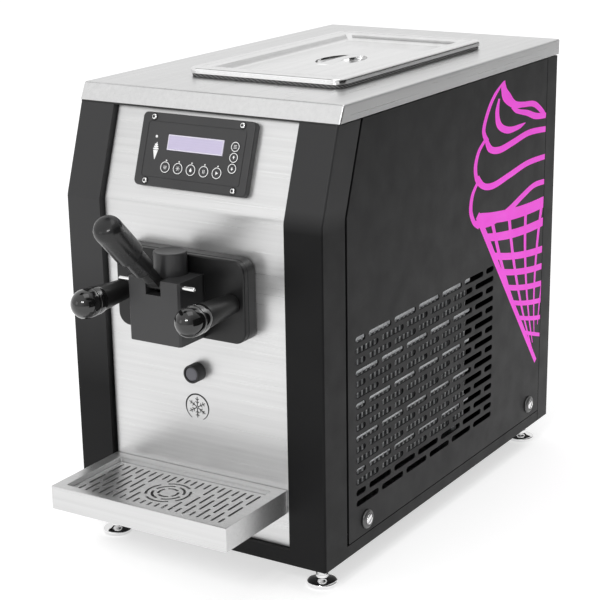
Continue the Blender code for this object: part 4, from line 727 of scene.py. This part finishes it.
piece("looks_pivot_pin", turned("x", PIVOT_Y, PIVOT_Z, [(0.6, HEAD_X - 41.6), (1.0, HEAD_X - 42.5), (1.6, HEAD_X - 42.5), (2.15, HEAD_X - 41.7), (2.15, HEAD_X + 41.7), (1.6, HEAD_X + 42.5), (1.0, HEAD_X + 42.5), (0.6, HEAD_X + 41.6)], 32), CHROME, ["pivot_pin"], sharp=50)
for s, word in ((-1, "left"), (1, "right")):
    x = HEAD_X + s * STUD_OFF
    softened(f"head_stud_{word}", CHROME, 0.3)
    egg = [(0.3, -93.98)] + [(14.0 * math.cos(math.radians(a)), -79.0 - 15.0 * math.sin(math.radians(a))) for a in (84, 76, 68, 60, 50, 40, 30, 20, 10, 0)]
    nut = egg + [(14.05, -76.0), (14.0, -73.4), (13.5, -73.1), (13.5, -72.5), (14.0, -72.2), (13.9, -68.0), (13.3, -64.0), (12.7, -61.6)]
    piece(f"looks_head_nut_{word}", turned("y", x, STUD_Z, nut + [(12.0, -61.2), (4.4, -61.2)], 64), GLOSS, [f"head_nut_{word}"], sharp=60)
    stem = loft([[at("y", a, u, w) for u, w in circle(x, STUD_Z, rr, 48)] for rr, a in ((4.35, -61.6), (12.2, -61.6), (12.4, -60.8), (11.6, -50.0), (9.4, -17.0), (9.2, HEAD_FRONT - GAP - 0.6), (8.9, HEAD_FRONT - GAP), (4.35, HEAD_FRONT - GAP))], ends=False)
    piece(f"nut_stem_{word}", stem, MATT_BLACK, body=f"nut_{word}", sharp=50)


def in_lever(shape, angle=LEVER_UP):
    ca, sa = math.cos(angle), math.sin(angle)
    v, f = shape
    return [(HEAD_X + x, PIVOT_Y - u * ca + w * sa, PIVOT_Z + u * sa + w * ca) for x, u, w in v], f


def lever_turned(profile, n=48):
    return in_lever(loft([[(x, u, w) for x, w in circle(0, 0, max(r, 0.05), n)] for r, u in profile]))


finger = [(HEAD_X + x, PIVOT_Y + u * math.cos(FINGER_DOWN) + w * math.sin(FINGER_DOWN), PIVOT_Z - u * math.sin(FINGER_DOWN) + w * math.cos(FINGER_DOWN)) for x, u, w in box(-4.5, 4.5, 0.0, 16.0, -2.4, 2.4)[0]]
piece("looks_lever_arm", cylinder("x", PIVOT_Y, PIVOT_Z, 5.0, HEAD_X - 7.9, HEAD_X + 7.9, 40), MATT_BLACK, ["lever_arm"],
      add=[in_lever(box(-6.3, 6.3, 1.0, 20.0, -4.6, 4.6)), lever_turned([(6.6, 12.4), (7.4, 13.2), (7.6, 33.7)]), lever_turned([(4.0, 30.0), (4.0, 88.0)], 32), (finger, box(0, 1, 0, 1, 0, 1)[1])],
      cut=[cylinder("x", PIVOT_Y, PIVOT_Z, 2.3, HEAD_X - 20.0, HEAD_X + 20.0, 24)], bevel=0.4, segs=2, angle=42, sharp=42)
grip = [(8.6, 27.0), (10.2, 27.5), (10.7, 28.4), (10.9, 50.6), (10.7, 51.2), (10.9, 51.9), (12.8, 52.0), (13.3, 52.5), (13.5, 53.6), (13.6, 70.0), (13.6, 92.0), (13.3, 94.6), (12.5, 97.2), (11.0, 99.6), (8.8, 101.2), (6.2, 102.0), (3.2, 102.4), (0.3, 102.5)]
piece("looks_lever_grip", lever_turned(grip, 64), GRIP, ["lever_grip"], cut=[lever_turned([(4.3, 30.0), (4.3, 90.0)], 32)], sharp=42)

# ------------------------------------------------------------------ drain plug
piece("looks_drain_tube", turned("y", 0.5, 176.0, [(6.9, -4.9), (7.0, -5.9), (7.5, -6.3), (8.3, -6.3), (8.8, -5.9), (9.0, -5.2), (9.0, PANEL_SET - GAP), (6.2, PANEL_SET - GAP + 0.02), (6.2, 70.0)], 64), RUBBER, ["drain_tube"],
      cut=[cylinder("y", 0.5, 176.0, 4.6, 0.0, 80.0, 32)], sharp=50)
piece("drain_plug_face", turned("y", 0.5, 176.0, [(0.3, -6.0), (4.4, -6.0), (6.0, -5.7), (6.7, -5.2), (6.7, -4.6)], 48), SLATE, body="drain", sharp=60)

# ------------------------------------------------------------------ drip tray and grid
tx, ty, (tz0, tz1) = TRAY_X, TRAY_Y, TRAY_Z
in_x, in_y = (tx[0] + 12.0, tx[1] - 12.0), (ty[0] + 9.0, ty[1] - 10.0)


def tray_loop(xr, yr, z, g=0.0, r=0.8):
    return rect_loop((xr[0] - g, xr[1] + g), (yr[0] - g, yr[1] + g), r, z, 0.0, 4)


tray = loft([tray_loop(tx, ty, tz0, -0.9), tray_loop(tx, ty, tz0 + 0.3, -0.2), tray_loop(tx, ty, tz0 + 1.0), tray_loop(tx, ty, tz1 - 1.0), tray_loop(tx, ty, tz1 - 0.3, -0.25), tray_loop(tx, ty, tz1, -0.9),
             tray_loop(in_x, in_y, tz1, 0.6, 2.6), tray_loop(in_x, in_y, tz1 - 0.3, 0.15, 2.2), tray_loop(in_x, in_y, tz1 - 0.9, 0.0, 2.0), tray_loop(in_x, in_y, tz1 - 6.4, 0.0, 2.0),
             tray_loop(in_x, in_y, tz1 - 6.4, -5.0), tray_loop(in_x, in_y, tz1 - 7.6, -5.0), tray_loop(in_x, in_y, tz1 - 7.6, 1.2, 2.6), tray_loop(in_x, in_y, tz1 - 1.2, 1.2, 2.6),
             tray_loop(tx, ty, tz1 - 1.2, -1.2), tray_loop(tx, ty, tz0 + 1.2, -1.2)])
hooks = [box(x - 4.0, x + 4.0, ty[1] - 0.6, 9.8, tz0 + 10.0, tz0 + 12.0) for x in HOOK_X] + [box(x - 4.0, x + 4.0, 7.8, 9.8, tz0 + 0.2, tz0 + 11.9) for x in HOOK_X]
piece("looks_drip_tray", tray, STEEL_X, ["drip_tray"], add=hooks, sharp=40)
gx, gy = (in_x[0] + 0.5, in_x[1] - 0.5), (in_y[0] + 0.5, in_y[1] - 0.5)
GZ = tz1 - 6.1
gcx, gcy = (gx[0] + gx[1]) / 2, (gy[0] + gy[1]) / 2
ring_clear, cuts = 26.0, []
for col in range(21):
    x = gcx + (col - 10) * 8.1
    for a, b in ([(0.06, 0.36), (0.42, 0.72), (0.78, 0.94)] if col % 2 else [(0.06, 0.22), (0.28, 0.58), (0.64, 0.94)]):
        ya, yb = gy[0] + a * (gy[1] - gy[0]), gy[0] + b * (gy[1] - gy[0])
        if abs(x - gcx) < ring_clear:
            half = math.sqrt(ring_clear ** 2 - (x - gcx) ** 2)
            if yb > gcy - half and ya < gcy:
                yb = min(yb, gcy - half)
            elif ya < gcy + half and yb > gcy:
                ya = max(ya, gcy + half)
            elif ya >= gcy - half and yb <= gcy + half:
                continue
        if yb - ya > 4.0:
            cuts.append(prism("z", [(u, w) for w, u in slot_outline(ya, yb, x - 1.3, 2.6, 5)], GZ - 4.0, GZ + 6.0))


def arc_slot(r, a0, a1, half=1.3, n=14):
    pts = [(gcx + (r + half) * math.cos(a0 + (a1 - a0) * i / n), gcy + (r + half) * math.sin(a0 + (a1 - a0) * i / n)) for i in range(n + 1)]
    pts += [(gcx + (r - half) * math.cos(a1 + (a0 - a1) * i / n), gcy + (r - half) * math.sin(a1 + (a0 - a1) * i / n)) for i in range(n + 1)]
    return prism("z", pts, GZ - 4.0, GZ + 6.0)


arcs = [arc_slot(r, math.radians(t + 90 * q + 9), math.radians(t + 90 * q + 81)) for r, t in ((9.5, 45), (15.5, 0), (21.5, 45)) for q in range(4)]
piece("looks_drip_grid", prism("z", rounded(gx[0], gx[1], gy[0], gy[1], 1.6, 5), GZ, GZ + 1.2), STEEL_X, ["drip_grid"], cut=[joined(*cuts), joined(*arcs)], bevel=0.2, segs=2, sharp=40)

# ------------------------------------------------------------------ levelling feet
for tag, (x, y) in FEET.items():
    thread = []
    z = -15.0
    while z < 15.0:
        thread += [(5.2, z), (6.0, z + 0.55), (6.0, z + 0.75), (5.2, z + 1.3)]
        z += 1.5
    foot = [(12.6, -26.0), (13.6, -26.0), (14.6, -25.5), (15.0, -24.6), (15.0, -22.0), (14.5, -21.0), (12.6, -19.9), (9.0, -19.1), (6.6, -18.6), (5.4, -17.6)] + thread + [(5.2, 15.6), (4.2, 16.0)]
    piece(f"looks_foot_{tag}", turned("z", x, y, foot, 48), CHROME, [f"foot_{tag}"], sharp=35)

# ------------------------------------------------------------------ works behind the vents
fin_list = [box(112.4, 138.2, 57.6 + 3.3 * k, 58.3 + 3.3 * k, 62.4, 213.6) for k in range(72)]
piece("condenser_fins", joined(*fin_list), FINS, ["condenser"], add=())
tube_list = [cylinder("y", 136.4, 81.5 + 32.8 * k, 3.4, 50.0, 302.0, 20) for k in range(5)]
tube_list += [cylinder("y", 118.0, 72.0 + 22.0 * k, 3.4, 50.0, 302.0, 16) for k in range(7)]
# The tubes and the guard wires glow by emission: painted light.
piece("condenser_tubes", joined(*tube_list), TUBES, body="machine")
wires = [cylinder("y", 139.0, 51.4 + 11.0 * row, 0.8, 56.0, 297.0, 10) for row in (2, 4, 5, 7, 8, 10, 11, 13, 14)]
piece("condenser_guard_wires", joined(*wires), TUBES, body="machine")
bars = [box(138.9, 139.7, 60.0 + 8.2 * k, 61.9 + 8.2 * k, 63.0, 213.0) for k in range(29)]
piece("condenser_guard_bars", joined(*bars), FIN_EDGES_PAINTED_GLOW, body="machine")
ends = [box(112.2, 136.0, 296.6, 297.8, 62.0, 214.0), box(112.2, 136.0, 54.6, 55.8, 62.0, 214.0), box(112.2, 131.0, 60.0, 70.0, 3.6, 62.0), box(112.2, 131.0, 282.0, 292.0, 3.6, 62.0)]
piece("condenser_end_plates", joined(*ends), GALV, body="machine", bevel=0.2)
bends = []
for k in range(4):
    z0, half = 81.5 + 32.8 * k, 16.4
    loops = []
    for i in range(15):
        a = math.pi * i / 14
        loops.append([(128.0 + 3.4 * math.cos(t), 302.0 + (9.0 + 3.4 * math.sin(t)) * math.sin(a), z0 + half - (half + 3.4 * math.sin(t)) * math.cos(a)) for t in [2 * math.pi * j / 16 for j in range(16)]])
    bends.append(loft(loops))
piece("condenser_bends", joined(*bends), PIPE_BENDS_PAINTED_SHADE, body="machine")
softened("fan_shroud", GALV, 0.3)
softened("condenser_fan", FAN_PLASTIC, 0.4)
softened("fan_motor", MOTOR, 0.8, 3)
softened("compressor", MOTOR, 1.2, 3, 40)
softened("freezing_cylinder", RUBBER, 0.4)
softened("beater", FOOD_WHITE, 0.4)
softened("gear_motor", MOTOR, 1.0, 3)

# ------------------------------------------------------------------ decals: own swirl and lattice cone, own snowflake
REAR_CUT = 474.0


def smooth_path(points, per=14):
    """Catmull-Rom curve through points."""
    pts = [points[0]] + list(points) + [points[-1]]
    out = []
    for i in range(1, len(pts) - 2):
        p0, p1, p2, p3 = pts[i - 1:i + 3]
        for k in range(per):
            t = k / per
            out.append(tuple(0.5 * (2 * b + (c - a) * t + (2 * a - 5 * b + 4 * c - d) * t * t + (-a + 3 * b - 3 * c + d) * t ** 3) for a, b, c, d in zip(p0, p1, p2, p3)))
    return out + [points[-1]]


def ribbon(points, widths, smooth=True):
    """Quads along a (y, z) path; widths are half-widths at the given points, eased between them."""
    path = smooth_path(points) if smooth else list(points)
    n = len(path)
    quads, left, right = [], [], []
    for i, (y, z) in enumerate(path):
        a, b = path[max(i - 1, 0)], path[min(i + 1, n - 1)]
        dy, dz = b[0] - a[0], b[1] - a[1]
        d = math.hypot(dy, dz) or 1.0
        t = i / (n - 1) * (len(widths) - 1)
        k = min(int(t), len(widths) - 2)
        e = (t - k) ** 2 * (3 - 2 * (t - k))
        w = widths[k] * (1 - e) + widths[k + 1] * e
        left.append((y - dz / d * w, z + dy / d * w))
        right.append((y + dz / d * w, z - dy / d * w))
    for i in range(n - 1):
        quads.append([left[i], left[i + 1], right[i + 1], right[i]])
    return quads


def flat_print(name, groups, plane, mat, clip, body="machine", thick=0.00012):
    """Thin vinyl: every group of polygons is cut at the panel's edge and given its own hair of height."""
    bm = bmesh.new()
    for g, quads in enumerate(groups):
        for q in quads:
            verts = [bm.verts.new(plane(u, w, 0.02 + 0.012 * g)) for u, w in q]
            try:
                bm.faces.new(verts)
            except ValueError:
                pass
    bmesh.ops.remove_doubles(bm, verts=bm.verts, dist=2e-7)
    if clip is not None:
        bmesh.ops.bisect_plane(bm, geom=bm.verts[:] + bm.edges[:] + bm.faces[:], plane_co=clip[0], plane_no=clip[1], clear_outer=True)
    mesh = bpy.data.meshes.new(name)
    bm.to_mesh(mesh)
    bm.free()
    obj = bpy.data.objects.new(name, mesh)
    bpy.context.scene.collection.objects.link(obj)
    s = obj.modifiers.new("thick", "SOLIDIFY")
    s.thickness, s.offset = thick, 1.0
    applied(obj)
    obj.data.materials.append(mat)
    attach(obj, body)
    return obj


swirl = [
    # outer curve of the top lobe, from the tip down its left side
    ribbon([(372, 404), (352, 385), (338, 362), (328, 330), (336, 308)], [1.2, 3.4, 3.6, 3.6, 4.6]),
    # right side of the tip, filled and sweeping to the rear
    ribbon([(374, 405), (372, 392), (380, 374), (398, 356), (420, 350), (446, 344), (466, 326), (475, 312)], [1.0, 6.0, 9.0, 6.5, 5.0, 5.0, 4.5, 4.0]),
    # inner fold of the top lobe
    ribbon([(362, 376), (358, 352), (364, 328), (384, 314), (408, 312), (426, 315)], [2.0, 4.4, 5.6, 6.0, 4.6, 1.0]),
    ribbon([(392, 352), (406, 342), (430, 332), (452, 320), (478, 314)], [1.5, 4.0, 5.0, 5.6, 5.0]),
    # second lobe
    ribbon([(334, 312), (344, 292), (366, 284), (398, 288), (436, 294), (480, 288)], [3.6, 5.4, 6.2, 6.0, 5.6, 5.2]),
    ribbon([(332, 312), (318, 296), (311, 272), (314, 248), (324, 234)], [3.0, 3.4, 3.6, 3.6, 4.2]),
    # third lobe
    ribbon([(316, 252), (328, 232), (352, 224), (390, 230), (434, 238), (480, 236)], [3.4, 5.2, 6.0, 5.8, 5.4, 5.0]),
    ribbon([(315, 240), (305, 222), (302, 196), (310, 172), (322, 160)], [3.0, 3.4, 3.6, 3.6, 4.2]),
    # base of the swirl, drooping over the cone
    ribbon([(312, 172), (330, 160), (358, 158), (392, 166), (424, 180), (452, 190), (480, 188)], [3.4, 5.2, 6.0, 6.0, 5.6, 5.2, 5.0]),
]
# shift and stretch of the drawing onto the panel: it was drawn 0..1 over its own height
DECAL_TOP, DECAL_CONE = 411.0, 272.0


def swirl_place(u, w):
    """Fits the drawn swirl (w from 150 to 405) between the cone's collar and the tip."""
    return (293.0 + (u - 302.0) * 1.03, 262.0 + (w - 152.0) * (DECAL_TOP - 262.0) / (405.0 - 152.0))


swirl = [[[swirl_place(u, w) for u, w in q] for q in quads] for quads in swirl]
tip_c = (465.0, 76.0)
left_top, right_top = (309.0, 280.0), (621.0, 280.0)


def on_cone(s, t):
    """s from 0 at the left edge to 1 at the right, t from 0 at the rim to 1 at the tip."""
    a = (left_top[0] + (tip_c[0] - left_top[0]) * t, left_top[1] + (tip_c[1] - left_top[1]) * t)
    b = (right_top[0] + (tip_c[0] - right_top[0]) * t, a[1])
    sag = 16.0 * (1 - (2 * s - 1) ** 2) * (1 - t)
    return (a[0] + (b[0] - a[0]) * s, a[1] - sag)


cone = [ribbon([on_cone(0.0, t) for t in (0.0, 0.25, 0.5, 0.75, 1.0)], [4.6, 4.2, 3.8, 3.4, 3.0])]
cone.append(ribbon([on_cone(s / 10, 0.02) for s in range(11)], [5.6, 6.4, 6.4, 6.4, 5.6]))
cone.append(ribbon([on_cone(s / 10, 0.14) for s in range(11)], [4.2, 4.8, 4.8, 4.8, 4.2]))
for k in range(6):
    t0 = 0.26 + 0.105 * k
    w = 3.7 - 0.36 * k
    cone.append(ribbon([on_cone(s / 8, min(t0 + 0.09 * (s / 8), 0.97)) for s in range(9)], [w, w + 0.2, w + 0.2, w]))
for k in range(7):
    s0 = 0.10 + 0.14 * k
    reach = 0.92 - 0.05 * abs(k - 1)
    cone.append(ribbon([on_cone(max(s0 - 0.13 * t / reach, 0.01), t) for t in [0.02 + (reach - 0.02) * i / 5 for i in range(6)]], [3.4, 3.0, 2.6, 2.1, 1.5, 0.7]))


def side_plane(u, w, h):
    return world((HALF + h, u, w))


clip_at = (Vector(world((HALF, REAR_CUT, 0.0))), Vector((0.0, 1.0, 0.0)))
flat_print("side_decal_swirl", swirl, side_plane, MAGENTA, clip_at)
flat_print("side_decal_cone", cone, side_plane, MAGENTA, clip_at)

flake = []
for k in range(6):
    a = math.radians(60 * k + 30)
    c, s = math.cos(a), math.sin(a)

    def turn(u, w):
        return (-2.0 + u * c - w * s, 139.0 + u * s + w * c)
    flake.append([[turn(u, w) for u, w in ((0.6, -0.42), (10.5, -0.42), (10.5, 0.42), (0.6, 0.42))]])
    for d, ln in ((4.2, 2.6), (7.2, 2.4)):
        for side_ in (-1, 1):
            b = math.radians(55) * side_
            flake.append([[turn(d + u * math.cos(b) - w * math.sin(b), u * math.sin(b) + w * math.cos(b)) for u, w in ((0, -0.36), (ln, -0.36), (ln, 0.36), (0, 0.36))]])
flake.append(ribbon([(-2.0 + 13.2 * math.cos(math.radians(a)), 139.0 + 13.2 * math.sin(math.radians(a))) for a in range(-60, 241, 12)], [0.3, 0.7, 0.7, 0.3], smooth=False))


def front_plane(u, w, h):
    return world((u, PANEL_SET - 0.02 - h * 0.5, w))


flat_print("front_snowflake", flake, front_plane, DARK_PRINT_AND_PAINTED_SHADE, None, thick=0.00005)

# ------------------------------------------------------------------ stage, light and camera
scene = bpy.context.scene
floor_mesh = bpy.data.meshes.new("studio_floor")
floor_mesh.from_pydata([(-14, -14, -0.0002), (14, -14, -0.0002), (14, 14, -0.0002), (-14, 14, -0.0002)], [], [(0, 1, 2, 3)])
floor = bpy.data.objects.new("studio_floor", floor_mesh)
scene.collection.objects.link(floor)
floor_mat = bpy.data.materials.new("studio_floor_pale")
ft, fb = nodes_of(floor_mat)
fb.inputs["Base Color"].default_value = (0.62, 0.62, 0.62, 1.0)
fb.inputs["Roughness"].default_value = 0.9
fb.inputs["Specular IOR Level"].default_value = 0.0
fb.inputs["Emission Color"].default_value = (1.0, 1.0, 1.0, 1.0)
fb.inputs["Emission Strength"].default_value = 0.62
floor_mesh.materials.append(floor_mat)


def card(name, corners, grey):
    """Upright studio card, outside the picture, that the sides of the machine reflect."""
    m = bpy.data.meshes.new(name)
    m.from_pydata(corners, [], [(0, 1, 2, 3)])
    o = bpy.data.objects.new(name, m)
    scene.collection.objects.link(o)
    cm = bpy.data.materials.new(name + "_grey")
    ct, cb = nodes_of(cm)
    cb.inputs["Base Color"].default_value = (grey, grey, grey, 1.0)
    cb.inputs["Roughness"].default_value = 0.9
    cb.inputs["Specular IOR Level"].default_value = 0.0
    m.materials.append(cm)
    o.visible_camera = False
    return o


card("studio_card_back", [(0.05, 1.55, 0.95), (1.05, 1.20, 0.95), (0.95, 0.95, 1.65), (0.0, 1.30, 1.65)], 0.55)
card("studio_card_over", [(-0.98, -0.42, 1.58), (-0.48, -0.42, 1.80), (-0.48, 0.12, 1.86), (-0.98, 0.12, 1.64)], 0.04)
card("studio_card_right", [(1.15, -0.75, 0.0), (1.35, 3.2, 0.0), (1.35, 3.2, 0.95), (1.15, -0.75, 0.95)], 0.02)

world_data = bpy.data.worlds.new("studio_light")
scene.world = world_data
world_data.use_nodes = True
wt = world_data.node_tree
bg = wt.nodes["Background"]
tc = put(wt, "ShaderNodeTexCoord")
sep = put(wt, "ShaderNodeSeparateXYZ")
wt.links.new(tc.outputs["Generated"], sep.inputs["Vector"])
up = put(wt, "ShaderNodeMapRange", {"From Min": -0.1, "From Max": 1.0, "To Min": 0.84, "To Max": 0.98})
wt.links.new(sep.outputs["Z"], up.inputs["Value"])
rt = put(wt, "ShaderNodeMapRange", {"From Min": 0.1, "From Max": 0.95, "To Min": 1.0, "To Max": 0.35}, interpolation_type="SMOOTHSTEP")
wt.links.new(sep.outputs["X"], rt.inputs["Value"])
mul = put(wt, "ShaderNodeMath", operation="MULTIPLY")
wt.links.new(up.outputs["Result"], mul.inputs[0])
wt.links.new(rt.outputs["Result"], mul.inputs[1])
wt.links.new(mul.outputs["Value"], bg.inputs["Strength"])
bg.inputs["Color"].default_value = (1.0, 1.0, 1.0, 1.0)


def softbox(name, place, aim, sx, sy, power):
    light = bpy.data.lights.new(name, "AREA")
    light.shape, light.size, light.size_y, light.energy = "RECTANGLE", sx, sy, power
    o = bpy.data.objects.new(name, light)
    scene.collection.objects.link(o)
    o.location = place
    o.rotation_euler = (Vector(aim) - Vector(place)).to_track_quat("-Z", "Y").to_euler()
    return o


softbox("key_softbox", (-1.30, -2.3, 1.05), (0.0, -0.1, 0.25), 0.8, 0.8, 1.6)
softbox("top_softbox", (0.3, -0.2, 2.4), (0.0, 0.0, 0.3), 1.2, 1.2, 5.0)
softbox("window_left", (0.30, -1.75, 1.35), (0.0, -0.25, 0.3), 0.16, 0.24, 4.0)
softbox("window_right", (0.60, -1.65, 1.30), (0.0, -0.25, 0.3), 0.16, 0.24, 4.0)

cam_data = bpy.data.cameras.new("camera")
cam = bpy.data.objects.new("camera", cam_data)
scene.collection.objects.link(cam)
scene.camera = cam
cam_data.sensor_width = 36.0
cam_data.lens = 1705.3674 / 600.0 * 36.0
cam_data.shift_y = 0.1
right = Vector((0.8478605977085194, 0.5299851558047168, -0.015752507102118424))
down = Vector((0.1550581307488734, -0.27625085223657125, -0.9484948301004246))
ahead = Vector((-0.5070398238225649, 0.8017488392665237, -0.3164007202785171))
turn_to = Matrix((right, -down, -ahead)).transposed()
cam.matrix_world = Matrix.Translation(world((905.5863823599035, -1243.4035465838404, 699.0215739471901))) @ turn_to.to_4x4()
cam_data.clip_start, cam_data.clip_end = 0.05, 60.0

scene.view_settings.view_transform = "Standard"
scene.view_settings.look = "None"
scene.view_settings.exposure = 0.0
scene.view_settings.gamma = 1.0
